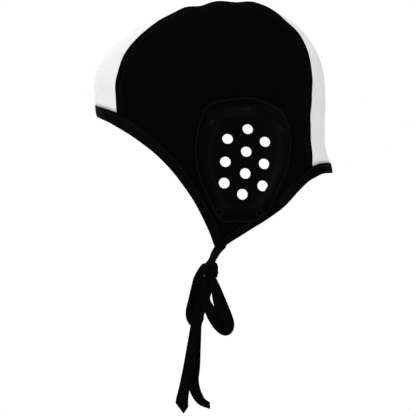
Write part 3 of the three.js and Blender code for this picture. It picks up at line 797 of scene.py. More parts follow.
def tie_stations(steps):
    """Stations of the left tie, from behind the flap tip into the knot."""
    start = tip + Vector((-CLOTH_THICK / 2, 0, -CLEARANCE - TAPE_THICK / 4))
    end = Vector((KNOT_DEPTH / 2 - TIE_ENTRY, KNOT_Y, KNOT_Z + KNOT_HEIGHT / 6))
    way = end - start
    points = [start + TIE_TUCK]
    for inward, down, forward, _wide in TIE:
        points.append(start + Vector((way.x * inward, way.y * forward, way.z * down)))
    return tape_stations(points, (TIE_TUCK_ROW, *TIE), steps, lambda run, share: Vector((0, 1, 0)))


left_tie = tie_stations(steps=40)
right_tie = [
    (mirrored(place), mirrored(run), mirrored(side), width) for place, run, side, width in left_tie
]
tapes = {}
for name, stations, end_cut in (
    ("front_loop_tape", hanging_stations(FRONT_LOOP, LOOP_LENGTH, steps=72), None),
    ("back_loop_tape", hanging_stations(BACK_LOOP, LOOP_LENGTH, steps=78), None),
    ("front_tail_tape", hanging_stations(FRONT_TAIL, TAIL_LENGTH, steps=80), pointed_end),
    ("back_tail_tape", hanging_stations(BACK_TAIL, TAIL_LENGTH, steps=84), slanted_end),
    ("left_tie_tape", left_tie, None),
    ("right_tie_tape", right_tie, None),
):
    tapes[name] = (tape_piece(name, stations, end_cut), stations)


# Bow knot: a rounded core with two turns of tape drawn over it
KNOT_POWER = 2.9
KNOT_CORE = (KNOT_DEPTH / 2 * 0.86, KNOT_WIDTH / 2 * 0.92, KNOT_HEIGHT / 2 * 1.04)
KNOT_CORE_BACK = 0.8
KNOT_CORE_DOWN = 0.7
# Folds of the core: height as a share of its size, and pace along each axis
KNOT_FOLDS = ((0.035, Vector((0, 11, 7))), (0.02, Vector((9, 0, -12))))
# Section of a turn of tape: share across, height over the core in millimetres
KNOT_BAND = ((-1, -0.5), (-0.95, 0.55), (-0.8, 0.85), (0, 0.7), (0.8, 0.85), (0.95, 0.55), (1, -0.5))
BAND_SIDES = 72
BAND_PINCH = 0.22
# Surface place of a band in metres: across at a share, and once round
BAND_SURFACE = (0.007, 0.044)


def knot_surface(way):
    """Place on the drawn-up middle of the knot in a direction from its centre."""
    way = way.normalized()
    girth = sum(abs(part) ** KNOT_POWER for part in way) ** (-1 / KNOT_POWER)
    fold = 1 + sum(height * sin(way.dot(pace)) for height, pace in KNOT_FOLDS)
    place = Vector([part * girth * fold * half for part, half in zip(way, KNOT_CORE)])
    return place + Vector((0, KNOT_Y + KNOT_CORE_BACK, KNOT_Z - KNOT_CORE_DOWN))


def knot_core():
    """The drawn-up middle of the knot: a squarish lump with slanting folds."""
    core = primitive(bpy.ops.mesh.primitive_uv_sphere_add, segments=48, ring_count=28, radius=1)
    for vertex in core.data.vertices:
        vertex.co = knot_surface(vertex.co) * MM
    core.data.shade_smooth()
    return core


def knot_band(name, tilt, turn, half_width, shift):
    """One turn of tape drawn over the middle of the knot, tilted and turned in degrees."""
    tip_over = Euler((radians(tilt), 0, radians(turn)))
    rows, uvs = [], []
    for side in range(BAND_SIDES):
        angle = side / BAND_SIDES * FULL_TURN
        pinch = half_width * (1 - BAND_PINCH * sin(angle) ** 2)
        row = []
        for across, lift in KNOT_BAND:
            way = Vector((cos(angle), shift + across * pinch, sin(angle)))
            way.rotate(tip_over)
            row.append(knot_surface(way) + way.normalized() * lift)
            uvs.append((across * half_width * BAND_SURFACE[0], side / BAND_SIDES * BAND_SURFACE[1]))
        rows.append(row)
    return grid_piece(name, rows, uvs, closed=True)


wide_turn = knot_band("wide_turn", tilt=24, turn=8, half_width=0.46, shift=0.1)
steep_turn = knot_band("steep_turn", tilt=-52, turn=-12, half_width=0.3, shift=-0.32)
knot = join_pieces([knot_core(), wide_turn, steep_turn], "knot_wraps")
settle_piece(knot, "black_tape", "bow_knot")

for name, node, far_end, on_it in (
    ("left_tie_tape", "tie_left", "knot", [knot]),
    ("right_tie_tape", "tie_right", "object", []),
    ("front_loop_tape", "bow_loop_front", "object", []),
    ("back_loop_tape", "bow_loop_back", "object", []),
    ("front_tail_tape", "tie_tail_front", "bare", []),
    ("back_tail_tape", "tie_tail_back", "bare", []),
):
    piece, stations = tapes[name]
    places = [place for place, *_more in stations]
    path = [tuple(place * MM) for place in places]
    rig.cord(
        piece,
        exit=path[0],
        length=distances(places)[-1] * MM,
        diameter=CORD_WIDTH,
        far_end=far_end,
        stiffness="limp",
        lay="hanging",
        path=path,
        with_pieces=on_it,
    )
    settle_piece(piece, "black_tape", node)


# Rims: stations from the mid line to the flap tip, on the wearer's left
RIM_STEPS = 8
CORNER = CORNER_ROW * RIM_STEPS
PARALLEL = 1e-9
UNDER_BINDING = 1.2
# Tape laid wider than usual, or narrower where below 0: row of the rim, millimetres
FRONT_WIDER = (
    (0, 1.0), (1, 2.0), (1.5, 2.9), (2, 4.0), (2.5, 3.9), (3, 2.4),
    (4, 1.4), (6, 1.1), (8, -0.8), (10, 0.3), (12, 1.0),
)
BACK_WIDER = (
    (0, -1.5), (0.5, -1.7), (1, -0.4), (1.25, 1.3), (1.5, 2.8), (2, 4.3), (2.5, 3.3),
    (3, 2.8), (4, 2.8), (5, 0.8), (6, -1.5), (7, -1.0), (8, -1.1),
)


def rim_line(rows, wider):
    """Stations of a rim: its outer edge and points in from it."""
    one_side = [form_at_side(side_y(along), side_z(down)) for along, down in rows]
    one_side[0] = form_at_angle(hub_angle(one_side[0].y, one_side[0].z), 0)
    points = [mirrored(point) for point in reversed(one_side[1:])] + one_side
    steps = (len(rows) - 1) * RIM_STEPS
    stations = []
    for step in range(steps + 1):
        place = 0.5 + step / steps / 2
        outer = snap_to_form(curve_point(points, place))
        across = form_normal(outer).cross(curve_run(points, place)).normalized()
        if across.z < 0:
            across.negate()
        width = BINDING_WIDTH + value_at(wider, step / RIM_STEPS)
        station = {"outer": outer}
        for kind, inset in (
            ("inner", width),
            ("cloth", min(BINDING_WIDTH, width) - UNDER_BINDING),
            ("edge", BINDING_WIDTH + CLEARANCE),
        ):
            station[kind] = snap_to_form(outer + across * inset)
        stations.append(station)
    return stations


def line_crossing(first_rim, second_rim, kind):
    """Where two lines of stations cross in the side view."""
    first = [station[kind] for station in first_rim]
    second = [station[kind] for station in second_rim]
    for i in range(len(first) - 2, 0, -1):
        for j in range(len(second) - 2, 0, -1):
            a, b, c, d = first[i], first[i + 1], second[j], second[j + 1]
            cross = (b.y - a.y) * (d.z - c.z) - (b.z - a.z) * (d.y - c.y)
            if abs(cross) < PARALLEL:
                continue
            s = ((c.y - a.y) * (d.z - c.z) - (c.z - a.z) * (d.y - c.y)) / cross
            t = ((c.y - a.y) * (b.z - a.z) - (c.z - a.z) * (b.y - a.y)) / cross
            if 0 <= s <= 1 and 0 <= t <= 1:
                return i, j, snap_to_form(a.lerp(b, s))
    raise ValueError("the rims do not meet at the flap tip")


front_rim = rim_line(FRONT_RIM, FRONT_WIDER)
back_rim = rim_line(BACK_RIM, BACK_WIDER)
front_last, back_last, flap_meeting = line_crossing(front_rim, back_rim, "cloth")
front_inner_last, back_inner_last, inner_meeting = line_crossing(front_rim, back_rim, "inner")


# Seams and relief of the crown
SEAM_RISE = 1.2
# Fit of the sewn seam: share of the way from brow to nape, and how much further out it runs
SEAM_FIT = (
    (0.0, -1.2), (0.02, -0.8), (0.04, 0.1), (0.06, 1.1), (0.08, 1.8), (0.125, 0.9), (0.17, 1.4),
    (0.21, 1.9), (0.3, 1.3), (0.42, 0.5), (0.55, 0.1), (0.62, -0.2), (0.7, 1.0), (0.78, 1.4),
    (0.86, -0.2), (0.905, -0.8), (0.935, -0.5), (0.95, 1.6), (0.962, 3.8), (0.975, 4.5),
    (0.986, 3.6), (1.0, -0.6),
)
SEAM_WAVES = ((0.32, 41, 0.7), (0.2, 83, 2.0))
# Low ripples of the cloth across the top of the crown: place lengthways and height
CROWN_RIPPLES = (
    (-43.0, 0.2), (-21.7, 0.62), (-15.0, -0.5), (-7.7, -1.75), (8.5, 0.45),
    (24.2, -0.35), (36.5, 0.5), (57.0, -0.55), (66.5, -0.75), (80.0, 0.2),
)
RIPPLE_REACH = 6.5
RIPPLE_LOWEST = -55
RIPPLE_FADE = 35
# Dents and pulls of the cloth: how fast they change, where the dents start, and their shares
DENT_PACE = 0.021
DENT_START = Vector((3.1, 0.4, 7.7))
PULL_PACE = Vector((0.084, 0.06, 0.042))
DENT_SHARE = 0.7
PULL_SHARE = 0.3
# Length of the way over the crown, as a share of a circle's
OVER_CROWN = 1.03


def upper_angle(point):
    angle = hub_angle(point.y, point.z)
    return angle + FULL_TURN if angle < -FULL_TURN / 4 else angle


def seam_half(share):
    brow_half = front_rim[CORNER]["edge"].x
    nape_half = back_rim[CORNER]["edge"].x
    if share < 0.5:
        return brow_half + (TOP_SEAM_HALF - brow_half) * smooth_step(share * 2)
    return TOP_SEAM_HALF + (nape_half - TOP_SEAM_HALF) * smooth_step(share * 2 - 1)


def rim_edge(rim, column):
    """Place on the cloth's end line, at a share of the way out from the mid line to the seam."""
    out = rim[CORNER]["edge"].x * column
    low = max(i for i in range(CORNER) if rim[i]["edge"].x <= out)
    start, end = rim[low]["edge"], rim[low + 1]["edge"]
    return start.lerp(end, (out - start.x) / (end.x - start.x))


def crown_point(column, share, shift):
    """Point of a lengthways line of the crown; column runs from the mid line to the seam."""
    start = upper_angle(rim_edge(front_rim, column))
    end = upper_angle(rim_edge(back_rim, column))
    half = seam_half(share) + value_at(SEAM_FIT, share)
    return form_at_angle(start + (end - start) * share, column * half + shift)


def crown_ripple(point):
    """Height of the ripples at a place of the crown, in millimetres."""
    fade = smooth_step((point.z - RIPPLE_LOWEST) / RIPPLE_FADE)
    if fade == 0:
        return 0.0
    return fade * sum(
        height * exp(-(((point.y - middle) / RIPPLE_REACH) ** 2))
        for middle, height in CROWN_RIPPLES
    )


def cloth_wrinkle(point, reach):
    """Shallow dents and pulls of the stretched cloth, in millimetres, up to the given reach."""
    dents = DENT_SHARE * noise.noise(point * DENT_PACE + DENT_START)
    pulls = PULL_SHARE * noise.noise(point * PULL_PACE)
    return reach * (dents + pulls)


def cloth_section(places):
    """Corners once round a piece of cloth, from rows of place, lift off the form and wall."""
    outside, inside = [], []
    for place, lift, wall in places:
        normal = form_normal(place)
        outside.append(place + normal * lift)
        inside.append(place + normal * (lift - wall))
    return outside + inside[::-1]


# Centre panel
CENTRE_ROWS = 220
CENTRE_COLUMNS = 16
CENTRE_WALL = CLOTH_THICK * 0.8
CENTRE_DENTS = 0.8
EDGE_COLUMNS = 1 / 6
END_CROWDING = 0.75
ROW_OVERRUN = 0.011
# How the edge tucks under the side panels: place beside the seam and height
TUCK = ((-1.6, 0.0), (-0.4, -0.03), (0.9, -0.3))
# Painted shade on the cloth along the bindings' inner edges: name of its mark, full reach and fade
PAINTED_SHADE_MARK = "gathered"
PAINTED_SHADE_FULL = 0.5
PAINTED_SHADE_FADE = 2.8
PAINTED_SHADE_STEPS = 4


def binding_places():
    """Places along the bindings' inner edges across the centre panel."""
    places = []
    for rim in (front_rim, back_rim):
        for start, end in zip(rim[:CORNER], rim[1:]):
            for step in range(PAINTED_SHADE_STEPS + 1):
                place = start["inner"].lerp(end["inner"], step / PAINTED_SHADE_STEPS)
                places += [place, mirrored(place)]
    return search_tree(places)


def centre_panel():
    """The white strip from forehead to nape; its edges tuck under the side panels."""
    sections = []
    for row in range(CENTRE_ROWS + 1):
        step = row / CENTRE_ROWS
        step -= END_CROWDING * sin(step * FULL_TURN) / FULL_TURN
        share = -ROW_OVERRUN + (1 + 2 * ROW_OVERRUN) * step
        half = []
        for index in range(CENTRE_COLUMNS):
            column = index / CENTRE_COLUMNS
            place = crown_point(column, share, TUCK[0][0] * column)
            dents = cloth_wrinkle(place, CENTRE_DENTS * smooth_step((1 - column) / EDGE_COLUMNS))
            half.append((place, dents + crown_ripple(place), CENTRE_WALL))
        for shift, lift in TUCK:
            place = crown_point(1, share, shift)
            half.append((place, lift + crown_ripple(place), CENTRE_WALL))
        sections.append([(mirrored(place), *more) for place, *more in reversed(half[1:])] + half)
    uvs = []
    middle = len(sections[0]) // 2
    for section, along in zip(sections, distances([row[middle][0] for row in sections])):
        flat = [(place.x * MM, along * MM) for place, *_more in section]
        uvs += flat + flat[::-1]
    rows = [cloth_section(section) for section in sections]
    return grid_piece("centre_cloth", rows, uvs, strips=True)


# Side panels
PANEL_RINGS = 26
RING_CROWDING = 1.1
PANEL_DENTS = 1.5
# Where a side panel lies smooth: share past the guard, and millimetres from the panel's edge
SMOOTH_PAST_GUARD = 0.5
SMOOTH_FROM_EDGE = 3
SMOOTH_FADE = 12
# Raised lip along the seam: millimetres in from the edge, share of the rise
LIP = ((4.4, 0.0), (3.4, 0.06), (2.7, 0.45), (2.0, 0.9), (1.3, 1.0), (0.6, 0.85), (0.1, 0.35))
LIP_HOLLOW = 0.6
LIP_AT_RIMS = 0.45
LIP_TAPER = 1 / 12
SEAM_ROWS = 150
SEAM_OUT = 0.15
SEAM_WANDER = 0.6


def side_panel_edge():
    """Edge of a side panel once round: front rim, flap tip, back rim, then the seam. A row is
    the place, the rise of the lip there and its wave."""
    edge = [(front_rim[i]["cloth"], 0.0, 0.0) for i in range(CORNER + 4, front_last + 1, 2)]
    edge.append((flap_meeting, 0.0, 0.0))
    edge += [(back_rim[i]["cloth"], 0.0, 0.0) for i in range(back_last, CORNER + 1, -2)]
    for row in range(SEAM_ROWS, -1, -1):
        share = row / SEAM_ROWS
        taper = smooth_step(min(share, 1 - share) / LIP_TAPER)
        wave = waves(SEAM_WAVES, share)
        place = crown_point(1, share, SEAM_OUT + wave * SEAM_WANDER)
        edge.append((place, SEAM_RISE * (LIP_AT_RIMS + (1 - LIP_AT_RIMS) * taper), wave * taper))
    return edge


def ear_opening(angle):
    half_y, half_z = EAR_OPENING_WIDTH / 2, EAR_OPENING_HEIGHT / 2
    reach = 1 / hypot(cos(angle) / half_y, sin(angle) / half_z)
    return form_at_side(GUARD_Y + cos(angle) * reach, GUARD_Z + sin(angle) * reach)


def side_place(point):
    """Place on a side panel in metres: lengthways, and up over the crown."""
    over = atan2(point.z - HUB_Z, point.x) * HALF_WIDTH * OVER_CROWN
    return point.y * MM, over * MM


def side_panel():
    """A black side panel with its ear opening and the raised lip along the seam."""
    rows, uvs = [], []
    edge = side_panel_edge()
    edge_places = search_tree([place for place, _lip, _wave in edge])
    for point, lip, wave in edge:
        start = ear_opening(atan2(point.z - GUARD_Z, point.y - GUARD_Y))
        reach = (point - start).length
        section = []
        for ring in range(PANEL_RINGS):
            share = (ring / PANEL_RINGS) ** RING_CROWDING * (1 - LIP[0][0] / reach)
            place = snap_to_form(start.lerp(point, share))
            away_y = (place.y - GUARD_Y) / (GUARD_WIDTH / 2)
            away_z = (place.z - GUARD_Z) / (GUARD_HEIGHT / 2)
            off_guard = smooth_step((hypot(away_y, away_z) - 1) / SMOOTH_PAST_GUARD)
            from_edge = edge_places.find(place)[2]
            off_edge = smooth_step((from_edge - SMOOTH_FROM_EDGE) / SMOOTH_FADE)
            dents = cloth_wrinkle(place, PANEL_DENTS * off_guard * off_edge)
            section.append((place, dents + crown_ripple(place), CLOTH_THICK))
        for inset, height in LIP:
            place = snap_to_form(start.lerp(point, 1 - inset / reach))
            lift = height * (lip + wave) + crown_ripple(place)
            section.append((place, lift, CLOTH_THICK + LIP_HOLLOW * height * lip))
        rows.append(cloth_section(section))
        flat = [side_place(place) for place, *_more in section]
        uvs += flat + flat[::-1]
    return grid_piece("side_cloth_left", rows, uvs, closed=True)


# Bindings: tape folded round the rims, mitred at the flap tips
# Fold round the rim: millimetres in from the rim line, share of the way through the cloth
NOSE = ((0.30, -0.5), (0.10, -0.36), (0.0, 0.0), (0.10, 0.36), (0.30, 0.5))
# Thickness of that fold, in thicknesses of the cloth
NOSE_THICK = 1.5
# Tape on the cloth: millimetres in from the rim line, height off the cloth
WALL = (
    (0.7, 0.56), (1.3, 0.72), (4.0, 0.78), (6.4, 0.7), (7.0, 0.45),
    (7.6, 0.7), (8.6, 0.74), (9.05, 0.6), (9.2, 0.1),
)
BINDING_WAVES = ((0.04, 2.1, 0.0),)
BINDING_GATHER = 0.1
GATHER_PACE = 0.09
MITRE_GAP = 0.15
# Distance between the corners of a section, for the weave
BINDING_TURN = 1.2
# Rows of the rim over which the nose grows to its full reach: the first and how many
NOSE_GROWS = (1, 3)


def binding_section(outer, inner, travelled, reach):
    """One section of a folded binding, from its inner edge outside, round the nose, back in.
    Reach is how far the nose stands past the rim line."""
    normal = form_normal(outer)
    across = inner - outer
    into = across.normalized()
    gather = waves(BINDING_WAVES, travelled)
    gather += BINDING_GATHER * noise.noise(Vector((travelled * GATHER_PACE, 0, 0)))
    outside, inside = [], []
    for inset, height in WALL:
        place = snap_to_form(outer + across * (inset / BINDING_WIDTH))
        up = form_normal(place)
        outside.append(place + up * (height + gather * min(1, height)))
        inside.append(place - up * (CLOTH_THICK + height + gather * 0.5))
    nose = []
    for out, height in reversed(NOSE):
        through = CLOTH_THICK * (NOSE_THICK * height - 0.5)
        nose.append(outer + into * (out - reach) + normal * through)
    return outside[::-1] + nose + inside


def mitred_line(rim, last):
    """Outer and inner points of a binding, its inner line drawn in to the mitre."""
    line = []
    for index, station in enumerate(rim):
        inner = station["inner"]
        if index > last:
            drawn_in = (index - last) / (len(rim) - last)
            inner = snap_to_form(rim[last]["inner"].lerp(inner_meeting, drawn_in))
        line.append((station["outer"], inner))
    ends = []
    for target, origin in zip((tip, inner_meeting), line[-1]):
        ends.append(target + (origin - target).normalized() * MITRE_GAP)
    return line + [tuple(ends)]


def binding(name, line, reach):
    """A folded binding from one flap tip over the mid line to the other."""
    one_side = []
    travelled = distances([outer for outer, _inner in line])
    for index, (outer, inner) in enumerate(line):
        grown = reach * smooth_step((index / RIM_STEPS - NOSE_GROWS[0]) / NOSE_GROWS[1])
        one_side.append(binding_section(outer, inner, travelled[index], grown))
    other_side = [[mirrored(point) for point in section] for section in reversed(one_side[1:])]
    rows = other_side + one_side
    corners = range(len(rows[0]))
    run = [-along for along in reversed(travelled[1:])] + travelled
    uvs = [(corner * BINDING_TURN * MM, along * MM) for along in run for corner in corners]
    return grid_piece(name, rows, uvs)


side_cloth_left = side_panel()
side_cloth_right = mirrored_copy(side_cloth_left, "side_cloth_right")
centre_cloth = centre_panel()
# Painted shade on the centre cloth, fading out from the bindings' inner edges
binding_tree = binding_places()
mark_piece(
    centre_cloth,
    PAINTED_SHADE_MARK,
    lambda place: 1 - smooth_step((binding_tree.find(place)[2] - PAINTED_SHADE_FULL) / PAINTED_SHADE_FADE),
)
front_line = mitred_line(front_rim, front_inner_last)
back_line = mitred_line(back_rim, back_inner_last)
front_edge = binding("front_edge_binding", front_line, reach=0.45)
back_edge = binding("back_edge_binding", back_line, reach=0.1)

settle_piece(side_cloth_left, "black_cloth", "side_panel_left")
settle_piece(side_cloth_right, "black_cloth", "side_panel_right")
settle_piece(centre_cloth, "white_cloth", "centre_panel")
settle_piece(front_edge, "black_tape", "front_binding")
settle_piece(back_edge, "black_tape", "back_binding")

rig.sheet(side_cloth_left, flat=(0.2, 0.21), held="stretched", area=0.0245)
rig.sheet(side_cloth_right, flat=(0.2, 0.21), held="stretched", area=0.0245)
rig.sheet(
    centre_cloth,
    flat=(0.088, 0.38),
    held="stretched",
    area=0.025,
    with_pieces=[front_edge, back_edge],
)


# Ear guards: a moulded flange and dome, pierced by vents and lacing holes
GUARD_SIDES = 144
GUARD_RING_GAP = 0.03
GUARD_MIDDLE_SHARE = 0.03
GUARD_TOP_SEAT = 0.3
# Part of the guard's height over which its seat changes
SEAT_CHANGE = 0.25
# Painted highlight on a guard's outer edge and lacing rings: name of its mark, full reach and fade
RIM_HIGHLIGHT_MARK = "painted_rim_highlight"
RIM_HIGHLIGHT_FULL = 0.5
RIM_HIGHLIGHT_FADE = 0.7
GUARD_BEVEL = 0.4
BEVEL_FROM = radians(60)
SHARP_FROM = radians(55)
ROUNDING = 1e-6
# Cutters of the bores, in metres out from the middle of the cap
CUTTER_MIDDLE = 0.07
CUTTER_LENGTH = 0.08
LACE_RING_WALL = 0.75
LACE_RING_THICK = 1.1
guard_ring = ring_rows(
    (back * GUARD_WIDTH / 2, up * GUARD_HEIGHT / 2) for back, up in GUARD_OUTLINE
)


def bore_place(back, up):
    return GUARD_Y + back * GUARD_WIDTH / 2, GUARD_Z + up * GUARD_HEIGHT / 2


def guard_reach(y, z):
    """How far a place is from the middle of the guard, and how far the guard's edge is there."""
    away_y, away_z = y - GUARD_Y, z - GUARD_Z
    return hypot(away_y, away_z), column_around(guard_ring, 0, atan2(away_z, away_y))


def guard_seat(z):
    """Height of a guard's underside: close to the cloth at the top, over the bindings below."""
    above = smooth_step((z - GUARD_Z) / (GUARD_HEIGHT * SEAT_CHANGE))
    return GUARD_SEAT + (GUARD_TOP_SEAT - GUARD_SEAT) * above


def dome_height(out):
    """Height of the dome over the flange at a share of the way out."""
    for (far, far_rise, far_lift), (near, near_rise, near_lift) in zip(GUARD_DOME, GUARD_DOME[1:]):
        if out >= near - ROUNDING:
            share = min(1, max(0, (far - out) / (far - near)))
            rise = far_rise + (near_rise - far_rise) * share
            return rise * GUARD_DEPTH + far_lift + (near_lift - far_lift) * share
    return GUARD_DEPTH


def guard_surface(y, z):
    """Place on the guard's outer face."""
    away, edge = guard_reach(y, z)
    place = form_at_side(y, z)
    place.x += guard_seat(z) + GUARD_WALL + dome_height(away / edge)
    return place


def guard_shell():
    """Rings drawn out from a circle to the middle of the dome, then set on the crown."""
    middle = Vector((0, GUARD_Y, GUARD_Z)) * MM
    shell = primitive(
        bpy.ops.mesh.primitive_circle_add,
        vertices=GUARD_SIDES,
        radius=1,
        location=middle,
        rotation=(0, pi / 2, 0),
    )
    bpy.ops.object.mode_set(mode="EDIT")
    bpy.ops.mesh.select_all(action="SELECT")
    outs = [1.0]
    for out in [row[0] for row in GUARD_DOME[1:]] + [GUARD_MIDDLE_SHARE]:
        gaps = ceil((outs[-1] - out) / GUARD_RING_GAP)
        outs += [outs[-1] + (out - outs[-1]) * (gap + 1) / gaps for gap in range(gaps)]
    for out, outer in zip(outs[1:], outs):
        bpy.ops.mesh.extrude_edges_move()
        bpy.ops.transform.resize(value=(out / outer,) * 3, center_override=middle)
    bpy.ops.mesh.edge_face_add()
    bpy.ops.mesh.poke()
    bpy.ops.mesh.select_all(action="SELECT")
    bpy.ops.mesh.normals_make_consistent(inside=False)
    bpy.ops.object.mode_set(mode="OBJECT")
    for vertex in shell.data.vertices:
        flat = vertex.co - middle
        edge = guard_reach(GUARD_Y + flat.y, GUARD_Z + flat.z)[1]
        vertex.co = guard_surface(GUARD_Y + flat.y * edge, GUARD_Z + flat.z * edge) * MM
    return shell


def bore_cutters():
    cutters = []
    for holes, bore in ((VENTS, VENT_BORE), (LACE_HOLES, LACE_BORE)):
        for back, up in holes:
            y, z = bore_place(back, up)
            cutter = primitive(
                bpy.ops.mesh.primitive_cylinder_add,
                vertices=48,
                radius=bore / 2 * MM,
                depth=CUTTER_LENGTH,
                location=(CUTTER_MIDDLE, y * MM, z * MM),
                rotation=(0, pi / 2, 0),
            )
            cutters.append(cutter)
    return join_pieces(cutters, "bores")


def lace_ring(back, up):
    """Raised moulded ring round a lacing hole."""
    y, z = bore_place(back, up)
    ring = primitive(
        bpy.ops.mesh.primitive_torus_add,
        major_segments=40,
        minor_segments=10,
        major_radius=(LACE_BORE / 2 + LACE_RING_WALL) * MM,
        minor_radius=LACE_RING_THICK / 2 * MM,
        location=(0, y * MM, z * MM),
        rotation=(0, pi / 2, 0),
    )
    for vertex in ring.data.vertices:
        vertex.co.x += guard_surface(vertex.co.y / MM, vertex.co.z / MM).x * MM
    ring.data.shade_smooth()
    return ring


def rim_highlight(place):
    """How much painted highlight the guard takes: fully at its outer edge and round its lacing rings."""
    away, edge = guard_reach(place.y, place.z)
    from_ring = min(
        hypot(place.y - y, place.z - z) for y, z in (bore_place(*hole) for hole in LACE_HOLES)
    )
    inset = min(edge - away, from_ring - LACE_BORE / 2 - LACE_RING_WALL)
    return 1 - smooth_step((inset - RIM_HIGHLIGHT_FULL) / RIM_HIGHLIGHT_FADE)


def ear_guard():
    shell = guard_shell()
    apply_modifier(shell, "SOLIDIFY", thickness=GUARD_WALL * MM, offset=-1.0, use_rim=True)
    apply_modifier(
        shell,
        "BEVEL",
        width=GUARD_BEVEL * MM,
        segments=3,
        limit_method="ANGLE",
        angle_limit=BEVEL_FROM,
        use_clamp_overlap=True,
    )
    cutter = bore_cutters()
    apply_modifier(shell, "BOOLEAN", operation="DIFFERENCE", solver="EXACT", object=cutter)
    bpy.data.objects.remove(cutter)
    apply_modifier(shell, "TRIANGULATE", quad_method="BEAUTY", ngon_method="BEAUTY")
    select_only(shell)
    bpy.ops.object.shade_smooth_by_angle(angle=SHARP_FROM)
    apply_modifier(shell, "WEIGHTED_NORMAL", keep_sharp=True, weight=50)
    guard = join_pieces([shell, *(lace_ring(*place) for place in LACE_HOLES)], "guard_left")
    mark_piece(guard, RIM_HIGHLIGHT_MARK, rim_highlight)
    return guard


guard_left = ear_guard()
guard_right = mirrored_copy(guard_left, "guard_right")
settle_piece(guard_left, "guard_plastic", "ear_guard_left")
settle_piece(guard_right, "guard_plastic", "ear_guard_right")


# Thread: sewn rows beside the seams and along the bindings, and tacks on the guards
STITCH_LENGTH = 2.3
STITCH_SPACING = 3.3
STITCH_DIP = 0.55
STITCH_END = 0.9
STITCH_THINNING = 0.6
THREAD_THICK = 0.42
SEAM_THREAD_ROWS = 120
SEAM_THREAD_END = 0.004
SEAM_THREAD_OUT = 4.6
SEAM_THREAD_LIFT = 0.22
BINDING_THREAD_IN = 7.0
BINDING_THREAD_LIFT = 0.62
# Tacks that hold a guard to the cloth: back, up, tilt in degrees
TACKS = ((0.075, 0.815, 2.0), (-0.65, 0.592, 72.0), (0.795, 0.485, -64.0))
TACK_LENGTH = 6.4
TACK_STRANDS = (-0.75, 0, 0.75)
TACK_LIFT = 0.2


def stitch_pattern():
    """One stitch: a short rounded thread along X, dipping at its ends."""
    stitch = primitive(
        bpy.ops.mesh.primitive_cylinder_add,
        vertices=6,
        radius=THREAD_THICK / 2,
        depth=STITCH_LENGTH,
        rotation=(0, pi / 2, 0),
    )
    bpy.ops.object.mode_set(mode="EDIT")
    for place in (-0.25, 0.25):
        bpy.ops.mesh.select_all(action="SELECT")
        bpy.ops.mesh.bisect(plane_co=(STITCH_LENGTH * place, 0, 0), plane_no=(1, 0, 0))
    bpy.ops.mesh.select_all(action="DESELECT")
    bpy.ops.object.mode_set(mode="OBJECT")
    for vertex in stitch.data.vertices:
        if abs(vertex.co.x) > STITCH_LENGTH / 2 * STITCH_END:
            vertex.co.y *= STITCH_THINNING
            vertex.co.z = vertex.co.z * STITCH_THINNING - THREAD_THICK * STITCH_DIP
    return stitch


def sewn_row(name, lines, stretch=1.0):
    """Stitches along lines of (place, run, normal), on both sides of the cap, as one piece."""
    pattern = stitch_pattern()
    corners = [vertex.co.copy() for vertex in pattern.data.vertices]
    shapes = [tuple(polygon.vertices) for polygon in pattern.data.polygons]
    bpy.data.objects.remove(pattern)
    points, faces = [], []
    for line in lines:
        other = [tuple(mirrored(vector) for vector in stitch) for stitch in line]
        for place, run, normal in line + other:
            side = normal.cross(run).normalized()
            up = run.cross(side)
            start = len(points)
            points += [place + run * (c.x * stretch) + side * c.y + up * c.z for c in corners]
            faces += [tuple(start + index for index in shape) for shape in shapes]
    piece = new_piece(name, points, faces)
    settle_piece(piece, "black_tape")
    return piece


def stitched_line(points, height):
    """Even stitch places along a line on the form, raised off it."""
    line = []
    wait = STITCH_SPACING / 2
    for start, end in zip(points, points[1:]):
        length = (end - start).length
        while wait < length:
            place = start.lerp(end, wait / length)
            normal = form_normal(place)
            line.append((place + normal * height, (end - start).normalized(), normal))
            wait += STITCH_SPACING
        wait -= length
    return line


def seam_line():
    points = []
    for row in range(SEAM_THREAD_ROWS + 1):
        share = SEAM_THREAD_END + (1 - 2 * SEAM_THREAD_END) * row / SEAM_THREAD_ROWS
        points.append(crown_point(1, share, SEAM_THREAD_OUT))
    return stitched_line(points, SEAM_THREAD_LIFT)


def binding_row(line, last):
    inset = BINDING_THREAD_IN / BINDING_WIDTH
    points = [snap_to_form(outer.lerp(inner, inset)) for outer, inner in line[: last + 1]]
    return stitched_line(points, BINDING_THREAD_LIFT)


def tack_line():
    line = []
    for back, up, tilt in TACKS:
        y, z = bore_place(back, up)
        along_y, along_z = cos(radians(tilt)), sin(radians(tilt))
        for strand in TACK_STRANDS:
            middle_y, middle_z = y - along_z * strand, z + along_y * strand
            start, end = (
                guard_surface(middle_y + along_y * reach, middle_z + along_z * reach)
                for reach in (-TACK_LENGTH / 2, TACK_LENGTH / 2)
            )
            run = (end - start).normalized()
            normal = Vector((1, 0, 0)) - run * run.x
            place = guard_surface(middle_y, middle_z) + Vector((TACK_LIFT, 0, 0))
            line.append((place, run, normal.normalized()))
    return line


seam_thread = sewn_row("seam_stitches", [seam_line()])
binding_thread = sewn_row(
    "binding_stitches",
    [binding_row(front_line, front_inner_last), binding_row(back_line, back_inner_last)],
)
guard_thread = sewn_row("guard_tacks", [tack_line()], TACK_LENGTH / STITCH_LENGTH)


# Shader nodes
# Height below which painted shade shows in the gaps between the threads
SHADE_BELOW = 0.35
# Spans of the noise and of the edge measure that count as 0 to 1; the edge measure places a painted highlight
PATCH_SPAN = (0.38, 0.66)
HIGHLIGHT_SPAN = (0.53, 0.64)


def feed(tree, node, inputs):
    """Give a node's inputs their values, or link them to the sockets that these come from."""
    for name, value in inputs.items():
        if isinstance(value, bpy.types.NodeSocket):
            tree.links.new(value, node.inputs[name])
        else:
            node.inputs[name].default_value = value


